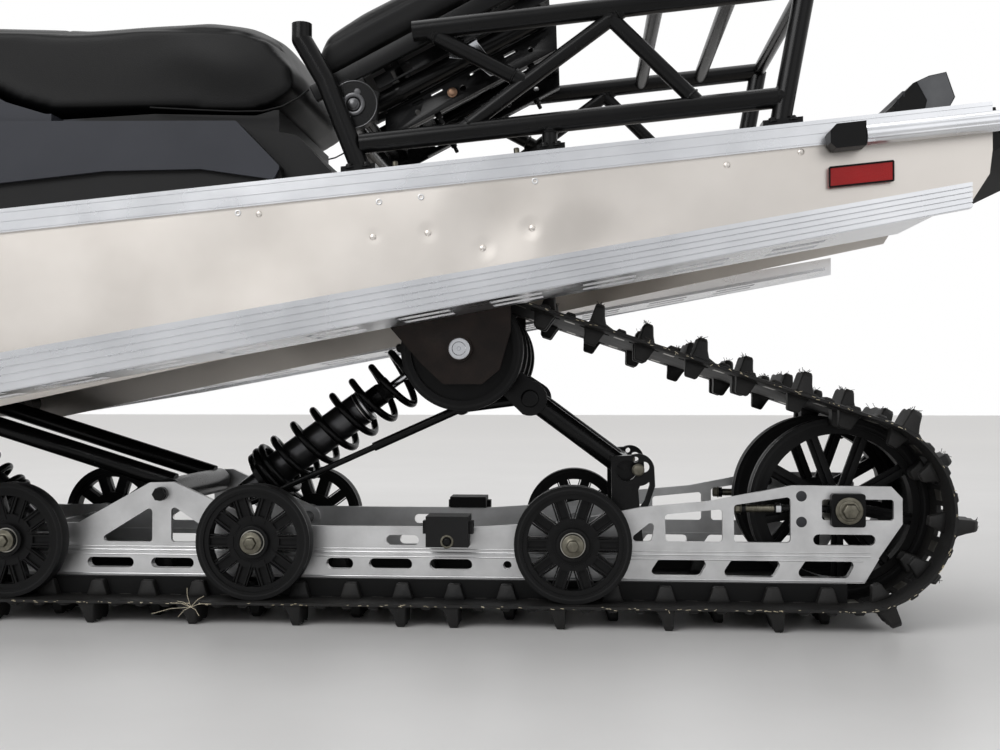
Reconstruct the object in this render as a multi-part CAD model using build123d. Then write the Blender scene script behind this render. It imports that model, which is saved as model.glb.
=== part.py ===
from build123d import *
import math
import os

os.makedirs("parts", exist_ok=True)

# Frame: millimetres, X runs to the rear, Z up from the floor, Y = 0 is the middle plane.
# The photograph looks at the vehicle's left side, which is -Y.

FIT = 0.3
SIDES = (-1, 1)

# Lines of the chassis seen from the side: height at X = 112 and rise per mm
TOP_Z, TOP_SLOPE = 578.0, 0.0937
LOW_Z, LOW_SLOPE = 305.0, 0.2065
TUNNEL_HALF, WALL = 222.0, 3.0
TUNNEL_FRONT, TUNNEL_REAR = -440.0, 1463.0

# Track and its rollers: centre X, centre Z, radius of the belt's inner face
BELT, LUG, DRIVE_LUG = 6.0, 28.0, 22.0
TRACK_HALF = 203.0
PITCHES = 54
FLOOR_BELT = LUG + BELT + 0.11
WHEEL_R = 81.0
BOGIE_X = (107.0, 463.0, 910.0)
BOGIE_Z = FLOOR_BELT + FIT + WHEEL_R
WHEEL_IN, WHEEL_OUT = 169.0, 195.0
REAR_X, REAR_R = 1290.0, 127.0
REAR_Z = FLOOR_BELT + FIT + REAR_R
IDLER_X, IDLER_Z, IDLER_R = 757.0, 384.0, 85.0
DRIVE_X, DRIVE_Z, DRIVE_R = -281.0, 372.0, 92.0
NOSE_X, NOSE_R = 40.0, 300.0

# Rails
RAIL_Y, RAIL_T = 140.0, 7.0
RAIL_LOW, RAIL_TOP = 60.0, 133.0
SHOULDER = 94.0
SHAFT_R = 10.0
LINK_X, LINK_Z = 371.0, 150.0
LOW_HANG_X, LOW_HANG_Z = 64.0, 106.0
HANG_X, HANG_Z = -178.0, 330.0

# Skis and steering
SKI_Y, SKI_HALF = 485.0, 75.0
SPINDLE_X, SPINDLE_Z = -900.0, 250.0
SPINDLE_RAKE = 20.0
POST_X, POST_Z, POST_RAKE = -408.0, 850.0, 24.0

# Body shell sections: X, low half width, low Z, middle half width, top half width, top Z, corner
PARTING = 520.0
BODY = (
    (-440.3, 165.0, 240.0, 245.0, 175.0, 905.0, 40.0),
    (-640.0, 170.0, 226.0, 272.0, 185.0, 925.0, 45.0),
    (-860.0, 165.0, 218.0, 268.0, 160.0, 800.0, 45.0),
    (-1050.0, 140.0, 262.0, 212.0, 120.0, 672.0, 38.0),
    (-1190.0, 80.0, 370.0, 118.0, 70.0, 566.0, 22.0),
)
BODY_SKIN = 5.0
HOOD_GAP = 7.0
HOOD_REAR = -446.0
HOOD_PIN = (-1206.0, 516.0)

# Tilting rear seat
HINGE_X, HINGE_Z, SEAT_TILT = 604.0, 728.0, 27.0


def top_z(x):
    return TOP_Z + TOP_SLOPE * (x - 112)


def low_z(x):
    return max(LOW_Z + LOW_SLOPE * (x - 112), 282.0)


def block(x0, x1, y0, y1, z0, z1):
    return Pos((x0 + x1) / 2, (y0 + y1) / 2, (z0 + z1) / 2) * Box(x1 - x0, y1 - y0, z1 - z0)


def side_plate(points, y0, y1):
    outline = Polyline(*[(x, y0, z) for x, z in points], close=True)
    return extrude(make_face(outline), amount=y1 - y0, dir=(0, 1, 0))


def round_plate(points, radius, y0, y1):
    outline = FilletPolyline(*[(x, y0, z) for x, z in points], radius=radius, close=True)
    return extrude(make_face(outline), amount=y1 - y0, dir=(0, 1, 0))


def disc(x, z, r, y0, y1):
    return Pos(x, (y0 + y1) / 2, z) * Rot(90, 0, 0) * Cylinder(r, y1 - y0)


def ring(x, z, r, bore, y0, y1):
    return disc(x, z, r, y0, y1) - disc(x, z, bore, y0 - 1, y1 + 1)


def rod(a, b, r):
    a, b = Vector(*a), Vector(*b)
    place = Plane(origin=a, z_dir=b - a)
    return place * Cylinder(r, (b - a).length, align=(Align.CENTER, Align.CENTER, Align.MIN))


def bent_tube(points, r, bend):
    path = FilletPolyline(*points, radius=bend)
    return sweep(Plane(origin=path @ 0, z_dir=path % 0) * Circle(r), path=path)


def slot(x0, x1, z0, z1, y0, y1):
    r = (z1 - z0) / 2
    z = (z0 + z1) / 2
    return block(x0 + r, x1 - r, y0, y1, z0, z1) + disc(x0 + r, z, r, y0, y1) + disc(x1 - r, z, r, y0, y1)


def join(pieces):
    pieces = list(pieces)
    return pieces[0].fuse(*pieces[1:]) if len(pieces) > 1 else pieces[0]


def mirrored(piece):
    return mirror(piece, about=Plane.XZ)


def pair(piece):
    return Compound(children=[*piece.solids(), *mirrored(piece).solids()])


def save(name, shape):
    solids = shape.solids()
    whole = solids[0] if len(solids) == 1 else Compound(children=list(solids))
    whole.label = name
    export_step(whole, f"parts/{name}.step")


# Tunnel, an upturned channel whose walls reach down to the running boards
def tunnel_side(drop, x0, x1):
    return [(x0, 282), (-4, 282), (1437, low_z(1437)), (1459, 613), (min(x1, 1469), 645),
            (x1, top_z(x1) - drop), (x0, top_z(x0) - drop)]


tunnel = side_plate(tunnel_side(0, TUNNEL_FRONT, TUNNEL_REAR), -TUNNEL_HALF, TUNNEL_HALF)
hollow = [(TUNNEL_FRONT - 10, 200), (1600, 200), (1600, top_z(1600) - WALL),
          (TUNNEL_FRONT - 10, top_z(TUNNEL_FRONT - 10) - WALL)]
tunnel -= side_plate(hollow, WALL - TUNNEL_HALF, TUNNEL_HALF - WALL)
save("tunnel", tunnel)

STRIP_T, STRIP_H, STRIP_FRONT, STRIP_REAR = 3.5, 30.0, 60.0, 1462.0


def along_top(x0, x1, z_low, z_high, y0, y1):
    corners = [(x0, top_z(x0) + z_low), (x1, top_z(x1) + z_low),
               (x1, top_z(x1) + z_high), (x0, top_z(x0) + z_high)]
    return side_plate(corners, y0, y1)


strip = along_top(STRIP_FRONT, STRIP_REAR, -STRIP_H, STRIP_T, -TUNNEL_HALF - STRIP_T, -TUNNEL_HALF)
strip += along_top(STRIP_FRONT, STRIP_REAR, 0, STRIP_T, -TUNNEL_HALF - 1, -TUNNEL_HALF + 24)
for share in (0.12, 0.5, 0.88):
    z = -STRIP_H + share * (STRIP_H + STRIP_T)
    strip += along_top(STRIP_FRONT, STRIP_REAR, z - 1.5, z + 1.5, -TUNNEL_HALF - STRIP_T - 1.2, -TUNNEL_HALF - 1)
save("corner_strips", pair(strip))

# Running boards: flat slotted plate and a ribbed edge that stands up and gets lower to the rear
BOARD_FRONT, BOARD_REAR, BOARD_OUT, BOARD_T = -430.0, 1382.0, 385.0, 5.0
RIBS = 5


def board_z(x):
    return max(325.0 + 0.1835 * (x - 197), 282.0)


def edge_height(x):
    return 50.0 - 19.0 * (x - 197) / 1185 if x > 197 else 50.0


KNEE = -70.0
board_line = [(BOARD_FRONT, 282.0), (KNEE, board_z(KNEE)), (BOARD_REAR - 42, board_z(BOARD_REAR - 42))]
plate = [(x, z) for x, z in board_line] + [(x, z + BOARD_T) for x, z in reversed(board_line)]
board = side_plate(plate, -BOARD_OUT + 12, -TUNNEL_HALF)
for i in range(11):
    for y in (-262, -315):
        x = -20 + 118 * i
        board -= block(x, x + 66, y - 14, y + 14, board_z(x) - 40, board_z(x) + 60)


def edge_band(low, high, y0, y1):
    stations = (BOARD_FRONT, KNEE, 197.0, BOARD_REAR)
    lows = [(x, board_z(x) + low * edge_height(x)) for x in stations]
    highs = [(x, board_z(x) + high * edge_height(x)) for x in stations]
    return side_plate(lows + highs[::-1], y0, y1)


board += edge_band(0, 1, -BOARD_OUT + 4, -BOARD_OUT + 13)
for i in range(RIBS):
    board += edge_band((i + 0.12) / RIBS, (i + 0.88) / RIBS, -BOARD_OUT, -BOARD_OUT + 5)
save("running_boards", pair(board))

# Rear end: grab bar with caps, reflectors, snow flap, tail lamp
BAR_R = 13.0
BAR_Y = TUNNEL_HALF + STRIP_T + 1.2 + FIT + BAR_R


def bar_z(x):
    return top_z(x) - 26


bar_points = [(1294, -BAR_Y, bar_z(1294)), (1500, -BAR_Y, bar_z(1500)), (1530, -190, bar_z(1500)),
              (1530, 190, bar_z(1500)), (1500, BAR_Y, bar_z(1500)), (1294, BAR_Y, bar_z(1294))]
save("grab_bar", bent_tube(bar_points, BAR_R, 22))

cap = along_top(1246, 1292, -42, -10, -BAR_Y - 15, -TUNNEL_HALF - STRIP_T - 1.2 - FIT)
cap = chamfer(cap.edges().filter_by(Axis.Y).group_by(Axis.X)[0], 8)
save("bar_end_caps", pair(cap))

reflector = along_top(1250, 1333, -88, -62, -TUNNEL_HALF - 7, -TUNNEL_HALF)
save("side_reflectors", pair(reflector))

flap_side = [(TUNNEL_REAR + FIT, 703), (1470, 703), (1473, 684), (1492, 664), (1560, 640), (1557, 631),
             (1487, 656), (TUNNEL_REAR + FIT, 678)]
flap = side_plate(flap_side, -214, 214)
for y in (-160, -80, 0, 80, 160):
    flap += side_plate([(1492, 662), (1496, 668), (1558, 646), (1560, 639)], y - 5, y + 5)
save("snow_flap", flap)

lamp_side = [(1330, 694), (1352, 718), (1356, 715), (1366, 727), (1362, 731), (1391, 763), (1413, 773),
             (1437, 778), (1449, 742), (1438, 722), (1420, 690)]
lamp = side_plate(lamp_side, -118, 118)
lamp_floor = [(1300, top_z(1300) + FIT), (1460, top_z(1460) + FIT), (1460, 600), (1300, 600)]
lamp -= side_plate(lamp_floor, -200, 200)
save("tail_lamp", lamp)

# Rear rack, two trusses of tube joined across, on flat feet
RACK_Y, RACK_R, DIAG_R = 205.0, 14.0, 10.5


def rack_low(x):
    return top_z(x) + 44


def rack_top(x):
    return rack_low(x) + 148


rack = []
for s in SIDES:
    y = s * RACK_Y
    foot = (617, y, top_z(617) + STRIP_T + 6)
    hoop = [foot, (569, y, 756), (534, y, 816), (534, y, 838)]
    rack += [rod(a, b, RACK_R) for a, b in zip(hoop, hoop[1:])]
    rack += [Pos(*p) * Sphere(RACK_R) for p in hoop[1:3]]
    rack.append(rod((617, y, rack_low(617)), (1196, y, rack_low(1196)), RACK_R))
    rack.append(rod((690, y, rack_top(690)), (1225, y, rack_top(1225)), RACK_R))
    rack.append(rod((1190, y, top_z(1190) + 9), (1225, y, rack_top(1225)), RACK_R))
    rack.append(rod((879, y, top_z(879) + 9), (879, y, rack_low(879)), DIAG_R))
    for x0, x1 in ((752, 985), (1085, 950)):
        rack.append(rod((x0, y, rack_low(x0)), (x1, y, rack_top(x1)), DIAG_R))
    rack.append(rod((845, y, rack_low(845) + 60), (705, y, rack_top(705)), DIAG_R))
    for x0, x1 in ((592, 640), (862, 900), (1165, 1218)):
        rack.append(along_top(x0, x1, STRIP_T + FIT, STRIP_T + 9, y - 14, y + 14))
for x, z in ((617, rack_low(617)), (1225, rack_top(1225)), (1125, rack_top(1125)), (1025, rack_top(1025))):
    rack.append(rod((x, -RACK_Y, z), (x, RACK_Y, z), DIAG_R))
rack = join(rack)
save("rear_rack", rack)

# Hinge plates of the tilting seat, on the inner side of the rack's posts
PLATE_Y0, PLATE_Y1 = 178.0, 190.7
PIN_R = 9.0
hinge = disc(HINGE_X, HINGE_Z, 34, -PLATE_Y1, -PLATE_Y0)
hinge += side_plate([(572, 700), (600, 696), (636, 706), (640, 745), (596, 764), (566, 752)], -PLATE_Y1, -PLATE_Y0)
hinge -= disc(HINGE_X, HINGE_Z, PIN_R + 0.05, -200, -170)
save("seat_hinge_plates", pair(hinge))

# Seats and the console between them and the dash
SEAT_HALF = 175.0
seat_side = [(-236, 812), (-120, 804), (0, 786), (60, 763), (102, 740), (162, 721.5), (306, 728), (456, 723),
             (492, 733), (531, 754), (498, 824), (380, 862), (0, 876), (-180, 884), (-236, 866)]
seat = round_plate(seat_side, 20, -SEAT_HALF, SEAT_HALF)
save("operator_seat", seat)

PANEL_HALF, CONSOLE_HALF, CONSOLE_TAIL, CONSOLE_REAR = 204.0, 196.0, 176.0, 581.0
core_side = [(-290, 716), (440, 704), (503, 636), (503, 500), (-290, 500)]
tail_side = [(200, 708), (440, 704), (520, 690), (590, 615), (590, 500), (200, 500)]
panel_side = [(-290, 716), (440, 705), (503, 640), (494, 622), (389, 638), (253, 637), (100, 622), (-290, 578)]
tank_side = [(-290, 700), (170, 700), (170, 770), (60, 810), (-290, 840)]
under = [(-400, top_z(-400) + FIT), (800, top_z(800) + FIT), (800, 300), (-400, 300)]
console = round_plate(core_side, 20, -CONSOLE_HALF, CONSOLE_HALF)
console += round_plate(tail_side, 14, -CONSOLE_TAIL, CONSOLE_TAIL)
console += round_plate(panel_side, 6, -PANEL_HALF, PANEL_HALF)
console += side_plate(tank_side, -CONSOLE_HALF, CONSOLE_HALF)
console += block(-236, 490, 15 - SEAT_HALF, SEAT_HALF - 15, 690, 730)
console &= block(-236, CONSOLE_REAR, -300, 300, 500, 900)
console -= side_plate(under, -300, 300)
console -= Pos(0, 0, -2 * FIT) * round_plate(seat_side, 20, -300, 300)
console = max(console.solids(), key=lambda s: s.volume)
save("seat_console", console)

# Slide rails with their windows, slots and the triangular tower
rail_top_line = [(1333, 94), (1366, 142), (1366, 178), (1351, 194), (1215, 195), (1100, 172), (1005, 163),
                 (900, 142), (772, RAIL_TOP), (470, RAIL_TOP), (332, 195), (296, 194), (189, 135), (40, RAIL_TOP)]
upper = side_plate([(40, RAIL_LOW), (1313, RAIL_LOW)] + rail_top_line, -RAIL_Y - RAIL_T / 2, -RAIL_Y + RAIL_T / 2)
lower = side_plate([(40, RAIL_LOW), (1313, RAIL_LOW), (1333, SHOULDER), (40, SHOULDER)], -RAIL_Y - 7, -RAIL_Y + 7)
NOSE_Z = FLOOR_BELT + NOSE_R
NOSE_SWEEP = 42.0


def nose_arc(r0, r1, y0, y1):
    far = 600.0
    a = math.radians(270 - NOSE_SWEEP)
    corner = (NOSE_X + far * math.cos(a), NOSE_Z + far * math.sin(a))
    wedge = side_plate([(NOSE_X, NOSE_Z), (NOSE_X, NOSE_Z - far), (corner[0], NOSE_Z - far), corner], y0, y1)
    return (disc(NOSE_X, NOSE_Z, r1, y0, y1) - disc(NOSE_X, NOSE_Z, r0, y0 - 1, y1 + 1)) & wedge


RAIL_NOSE = NOSE_R - (RAIL_LOW - FLOOR_BELT)
upper += nose_arc(NOSE_Z - RAIL_TOP, RAIL_NOSE, -RAIL_Y - RAIL_T / 2, -RAIL_Y + RAIL_T / 2)
lower += nose_arc(NOSE_Z - SHOULDER, RAIL_NOSE, -RAIL_Y - 7, -RAIL_Y + 7)
rail = upper + lower
Y0, Y1 = -RAIL_Y - 20, -RAIL_Y + 20
WINDOWS = (
    ((215, 108), (300, 108), (300, 160)),
    ((328, 108), (410, 108), (328, 162)),
    ((985, 115), (1020, 115), (1026, 148)),
    ((1040, 115), (1119, 115), (1119, 161), (1039, 153)),
    ((1135, 115), (1213, 115), (1213, 179), (1135, 167)),
)
for window in WINDOWS:
    rail -= round_plate(window, 5, Y0, Y1)
for x0, x1 in ((1017, 1092), (1118, 1194), (1220, 1295)):
    rail -= round_plate([(x0 - 3, 67), (x1 - 5, 67), (x1 + 8, 91), (x0 + 13, 91)], 7, Y0, Y1)
rail -= round_plate([(1256, REAR_Z - 14.5), (1354, REAR_Z - 14.5), (1354, REAR_Z + 14.5), (1256, REAR_Z + 14.5)], 4, Y0, Y1)
SLOTS = (
    (205, 274, 71, 86), (300, 363, 71, 86), (557, 596, 72, 88), (619, 681, 72, 88), (706, 767, 72, 88),
    (643, 690, 106, 121), (1244, 1329, 112, 127),
)
for x0, x1, z0, z1 in SLOTS:
    rail -= slot(x0, x1, z0, z1, Y0, Y1)
for x, z, r in ((817, 80, 6), (1228, 180, 7), (1228, 144, 7)):
    rail -= disc(x, z, r, Y0, Y1)
for x in BOGIE_X:
    rail += disc(x, BOGIE_Z, 20, -RAIL_Y - 9, -RAIL_Y + 9)
    rail -= disc(x, BOGIE_Z, SHAFT_R + 0.05, Y0, Y1)
APEX = (314.0, 178.0)
rail -= disc(*APEX, SHAFT_R + 0.05, Y0, Y1)
save("slide_rails", pair(rail))

runner = block(40, REAR_X - 2, -RAIL_Y - 14, -RAIL_Y + 14, FLOOR_BELT + FIT, RAIL_LOW)
runner += nose_arc(RAIL_NOSE, NOSE_R - FIT, -RAIL_Y - 14, -RAIL_Y + 14)
save("slide_strips", pair(runner))

# Shafts across the rails; the rear one carries square adjuster blocks in the rail slots
axles = []
for x in BOGIE_X:
    shaft = disc(x, BOGIE_Z, SHAFT_R, -WHEEL_OUT - 3, WHEEL_OUT + 3)
    axles.append(shaft + ring(x, BOGIE_Z, 15, 5, -WHEEL_OUT - 8, -WHEEL_OUT - 3) + ring(x, BOGIE_Z, 15, 5, WHEEL_OUT + 3, WHEEL_OUT + 8))
RAIL_IN, RAIL_OUT = RAIL_Y - RAIL_T / 2, RAIL_Y + RAIL_T / 2
ADJUSTER, ADJUSTER_Y, AXLE_BOLT = 23.0, RAIL_Y + 16, 8.0
shaft = disc(REAR_X, REAR_Z, 14.9, -RAIL_IN, RAIL_IN)
shaft += disc(REAR_X, REAR_Z, AXLE_BOLT, -ADJUSTER_Y - 4, ADJUSTER_Y + 4)
for s in SIDES:
    shaft += disc(REAR_X, REAR_Z, 18.5, *sorted((s * ADJUSTER_Y, s * (ADJUSTER_Y + 3))))
    shaft += disc(REAR_X, REAR_Z, 10, *sorted((s * ADJUSTER_Y, s * (ADJUSTER_Y + 10))))
    y = s * (RAIL_IN - 6)
    shaft += rod((REAR_X - 146, y, REAR_Z), (REAR_X, y, REAR_Z), 5)
    shaft += rod((REAR_X - 146, y, REAR_Z), (REAR_X - 138, y, REAR_Z), 8)
axles.append(shaft)
axles.append(disc(LOW_HANG_X, LOW_HANG_Z, SHAFT_R, -RAIL_IN, RAIL_IN))
axles.append(disc(LINK_X, LINK_Z, SHAFT_R, -RAIL_IN, RAIL_IN))
axles.append(disc(HANG_X, HANG_Z, SHAFT_R, WALL - TUNNEL_HALF, TUNNEL_HALF - WALL))
save("skid_axles", Compound(children=[s for a in axles for s in a.solids()]))

adjuster = block(REAR_X - ADJUSTER, REAR_X + ADJUSTER, -ADJUSTER_Y, -RAIL_OUT, REAR_Z - ADJUSTER, REAR_Z + ADJUSTER)
adjuster = fillet(adjuster.edges().filter_by(Axis.Y), 4)
adjuster += block(REAR_X - 20, REAR_X + 20, -RAIL_OUT - 1, -RAIL_IN, REAR_Z - 14, REAR_Z + 14)
adjuster -= disc(REAR_X, REAR_Z, AXLE_BOLT + 0.05, -200, -100)
save("adjuster_blocks", pair(adjuster))

# Wheels, built about the Y axis and copied: tyre, rim, hub and spokes between open windows
BOGIE_SPOKES, BOGIE_RIM, BOGIE_HUB = 10, 63.0, 36.0
SPOKE_W, CHANNEL_W, CHANNEL_D = 15.0, 9.5, 4.0
TYRE_T, WHEEL_HALF = 11.0, (WHEEL_OUT - WHEEL_IN) / 2


def spoke(r0, r1, width, y0, y1):
    return block(r0, r1, y0, y1, -width / 2, width / 2)


def bogie_wheel():
    h = WHEEL_HALF
    body = ring(0, 0, WHEEL_R, WHEEL_R - TYRE_T, -h, h)
    body += ring(0, 0, WHEEL_R - TYRE_T + 1, BOGIE_RIM, -h + 2, h - 2)
    body += ring(0, 0, BOGIE_HUB, SHAFT_R + 0.05, -h + 5, h - 2)
    body += ring(0, 0, 22, SHAFT_R + 0.05, -h, h - 2)
    for i in range(BOGIE_SPOKES):
        turned = Rot(0, 360 * i / BOGIE_SPOKES, 0)
        body += turned * spoke(BOGIE_HUB - 8, BOGIE_RIM + 4, SPOKE_W, -h + 4, h - 4)
    for i in range(BOGIE_SPOKES):
        turned = Rot(0, 360 * i / BOGIE_SPOKES, 0)
        body -= turned * spoke(BOGIE_HUB + 1, BOGIE_RIM - 1, CHANNEL_W, -h, -h + 4 + CHANNEL_D)
    return body


wheel = bogie_wheel()
near_wheels = [Pos(x, -(WHEEL_IN + WHEEL_OUT) / 2, BOGIE_Z) * wheel for x in BOGIE_X]
wheels = [s for w in near_wheels for s in w.solids()]
save("bogie_wheels", Compound(children=wheels + [s for w in near_wheels for s in mirrored(w).solids()]))

REAR_IN, REAR_OUT = 68.0, 96.0
REAR_SPOKES, REAR_RIM, REAR_HUB = 9, 104.0, 30.0


def rear_wheel():
    h = (REAR_OUT - REAR_IN) / 2
    body = ring(0, 0, REAR_R, REAR_R - 12, -h, h) + ring(0, 0, REAR_R - 11, REAR_RIM, -h + 3, h - 3)
    body += ring(0, 0, REAR_HUB, 14.95, -h, h)
    for i in range(REAR_SPOKES):
        turned = Rot(0, 360 * i / REAR_SPOKES + 10, 0)
        body += turned * spoke(REAR_HUB - 4, REAR_RIM + 5, 17, -3, 3)
        body += turned * spoke(REAR_HUB - 4, REAR_RIM + 5, 5, -h + 3, h - 3)
    return body


save("rear_wheels", pair(Pos(REAR_X, -(REAR_IN + REAR_OUT) / 2, REAR_Z) * rear_wheel()))

idlers = [ring(IDLER_X, IDLER_Z, IDLER_R, SHAFT_R + 0.05, -y1, -y0) for y0, y1 in ((171.0, 195.0), (52.0, 76.0))]
idlers = [i - ring(IDLER_X, IDLER_Z, IDLER_R - 14, 26, -300, -y) for i, y in zip(idlers, (188.0, 69.0))]
save("carrier_wheels", Compound(children=[s for i in idlers for s in i.solids()] + [s for i in idlers for s in mirrored(i).solids()]))

# Carrier plate: flat top bolted inside the tunnel wall, round below, with its cross shaft
plate_out = TUNNEL_HALF - WALL
guard_side = [(664, 470), (661, 413), (683, 388), (704, 364), (734, 336), (787, 336), (811, 356), (826, 408), (826, 500)]
guard = round_plate(guard_side, 9, -plate_out, -plate_out + 6)
carrier = guard + mirrored(guard)
carrier += disc(IDLER_X, IDLER_Z, SHAFT_R, -plate_out + 1, plate_out - 1)
carrier += disc(IDLER_X, IDLER_Z, 17, -plate_out - 8, -plate_out + 1) + disc(IDLER_X, IDLER_Z, 17, plate_out - 1, plate_out + 8)
save("carrier_plates", carrier)

# Rear arm: hangs from the carrier shaft's lugs and ends at the pivot bracket on the rails
ARM_TOP, ARM_LOW = (848.0, 316.0), (986.0, 214.0)
LEVER = (748.0, 104.0, 303.0)
SHOCK_TOP = (757.0, 429.0)
arm = join([
    rod((ARM_TOP[0], -118, ARM_TOP[1]), (ARM_TOP[0], 118, ARM_TOP[1]), 16),
    rod((ARM_LOW[0], -118, ARM_LOW[1]), (ARM_LOW[0], 118, ARM_LOW[1]), 15),
    rod((ARM_TOP[0], -104, ARM_TOP[1]), (ARM_LOW[0], -104, ARM_LOW[1]), 14.5),
    rod((ARM_TOP[0], 104, ARM_TOP[1]), (ARM_LOW[0], 104, ARM_LOW[1]), 14.5),
    rod((IDLER_X + 12, -104, IDLER_Z - 8), (ARM_TOP[0], -104, ARM_TOP[1]), 11),
    rod((IDLER_X + 12, 104, IDLER_Z - 8), (ARM_TOP[0], 104, ARM_TOP[1]), 11),
])
arm += rod((ARM_TOP[0], -LEVER[1], ARM_TOP[1]), (LEVER[0], -LEVER[1], LEVER[2]), 8)
arm += disc(LEVER[0], LEVER[2], 11, -LEVER[1] - 11, -LEVER[1] + 11)
for s in SIDES:
    arm += ring(IDLER_X, IDLER_Z, 18, SHAFT_R + 0.05, *sorted((s * 90, s * 116)))
hanger = disc(*SHOCK_TOP, SHAFT_R, -19, 19)
for s in SIDES:
    y0, y1 = sorted((s * 13, s * 19))
    hanger += disc(IDLER_X, IDLER_Z, 18, y0, y1) + disc(*SHOCK_TOP, 16, y0, y1)
    hanger += side_plate([(IDLER_X - 17, IDLER_Z), (IDLER_X + 17, IDLER_Z), (SHOCK_TOP[0] + 15, SHOCK_TOP[1]),
                          (SHOCK_TOP[0] - 15, SHOCK_TOP[1])], y0, y1)
arm = Compound(children=[*arm.solids(), *hanger.solids()])
save("rear_arm", arm - disc(IDLER_X, IDLER_Z, SHAFT_R + 0.05, -150, 150))

BRACKET_Y0, BRACKET_Y1 = RAIL_IN - 16, RAIL_IN
LOBE = (1002.0, 215.0, 23.0)
bracket = side_plate([(966, 100), (1010, 100), (1004, 165), (998, 236), (964, 234)], -BRACKET_Y1, -BRACKET_Y0)
bracket += disc(*LOBE, -BRACKET_Y1, -BRACKET_Y1 + 5)
strap = [(1025, 214), (1026, 192), (1017, 166), (1004, 146), (1000, 156), (1011, 172), (1018, 194), (1016, 214)]
bracket += side_plate(strap, -BRACKET_Y1, -BRACKET_Y1 + 5)
bracket -= disc(998.6, 229.7, 4, -200, -100)
bracket -= disc(1010.5, 219, 7.5, -200, -100)
bracket -= disc(ARM_LOW[0], ARM_LOW[1], 15.05, -200, -100)
save("rear_arm_bracket", pair(bracket))

# Front arm: from the tunnel down to a cross tube that sits in the rails' towers
FRONT_PIVOT, FRONT_Y = (-60.0, 305.0), 92.0
front = join([
    rod((FRONT_PIVOT[0], -TUNNEL_HALF + WALL, FRONT_PIVOT[1]), (FRONT_PIVOT[0], TUNNEL_HALF - WALL, FRONT_PIVOT[1]), 15),
    rod((APEX[0], -RAIL_Y - RAIL_T / 2 - 8, APEX[1]), (APEX[0], RAIL_Y + RAIL_T / 2 + 8, APEX[1]), SHAFT_R),
    rod((APEX[0], -116, APEX[1]), (APEX[0], 116, APEX[1]), 20),
    *[rod((FRONT_PIVOT[0], s * FRONT_Y, FRONT_PIVOT[1]), (APEX[0], s * FRONT_Y, APEX[1] + 12), 14) for s in SIDES],
])
save("front_arm", front)

# Four shock absorbers and their springs: the columns are one end, the other end, spring start and end
SHOCKS = (
    ((LINK_X, 0.0, LINK_Z), (SHOCK_TOP[0], 0.0, SHOCK_TOP[1]), 0.17, 0.76, 26.0, 41.8, 7),
    ((LOW_HANG_X, 0.0, LOW_HANG_Z), (HANG_X, 0.0, HANG_Z), 0.20, 0.68, 22.0, 35.0, 5),
)
FRONT_SHOCK = ((-884.0, 372.0, 262.0), (-866.0, 286.0, 490.0), 0.52, 0.88, 20.0, 30.0, 5)
COIL_R, PISTON_R, EYE_R = 4.3, 5.5, 16.0


def strut(low, high, start, end, r, mean):
    a, b = Vector(*low), Vector(*high)
    span = b - a
    way = span.normalized()
    seat = a + span * start
    body = rod(low, high, PISTON_R)
    body += rod(tuple(a + span * 0.06), tuple(seat), r * 0.68)
    body += rod(tuple(seat - way * 8), tuple(a + span * max(0.56, start + 0.05)), r)
    body += rod(tuple(seat), tuple(a + span * max(0.62, start + 0.1)), r * 0.66)
    for foot, out in ((seat, -1), (a + span * end, 1)):
        near = foot + way * out * (COIL_R + FIT)
        body += rod(tuple(near), tuple(near + way * out * 7), mean + 2)
    body += rod(tuple(seat - way * 16), tuple(seat - way * 4), mean - 8)
    for foot in (a, b):
        body += Plane(origin=foot, z_dir=(0, 1, 0)) * Cylinder(EYE_R, 24)
        body -= Plane(origin=foot, z_dir=(0, 1, 0)) * Cylinder(SHAFT_R + 0.05, 30)
    return body


def coil(low, high, start, end, mean, turns):
    a, b = Vector(*low), Vector(*high)
    span = b - a
    length = span.length * (end - start)
    place = Plane(origin=a + span * start, z_dir=span)
    path = Helix(pitch=length / turns, height=length, radius=mean)
    section = Plane(origin=path @ 0, z_dir=path % 0) * Circle(COIL_R)
    return place * sweep(section, path=path, is_frenet=True)


shocks, coils = [], []
for low, high, start, end, body_r, mean, turns in SHOCKS:
    shocks.append(strut(low, high, start, end, body_r, mean))
    coils.append(coil(low, high, start, end, mean, turns))
low, high, start, end, body_r, mean, turns = FRONT_SHOCK
for s in SIDES:
    a, b = (low[0], s * low[1], low[2]), (high[0], s * high[1], high[2])
    pins = join([disc(p[0], p[2], SHAFT_R, p[1] - 14, p[1] + 14) for p in (a, b)])
    shocks.append(strut(a, b, start, end, body_r, mean) + pins)
    coils.append(coil(a, b, start, end, mean, turns))
save("shock_absorbers", Compound(children=[s for a in shocks for s in a.solids()]))
save("coil_springs", Compound(children=[s for a in coils for s in a.solids()]))

travel = rod((LINK_X + 9, -LEVER[1], LINK_Z - 12), (LEVER[0] - 4, -LEVER[1], LEVER[2] - 2), 4.5)
travel += rod((618, -LEVER[1], 244.7), (LEVER[0] - 4, -LEVER[1], LEVER[2] - 2), 6.5)
travel += disc(LINK_X, LINK_Z, EYE_R, -LEVER[1] - 8, -LEVER[1] + 8)
travel -= disc(LINK_X, LINK_Z, SHAFT_R + 0.05, -LEVER[1] - 12, -LEVER[1] + 12)
travel -= disc(LEVER[0], LEVER[2], 11 + FIT / 10, -LEVER[1] - 12, -LEVER[1] + 12)
save("travel_rod", travel)

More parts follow.
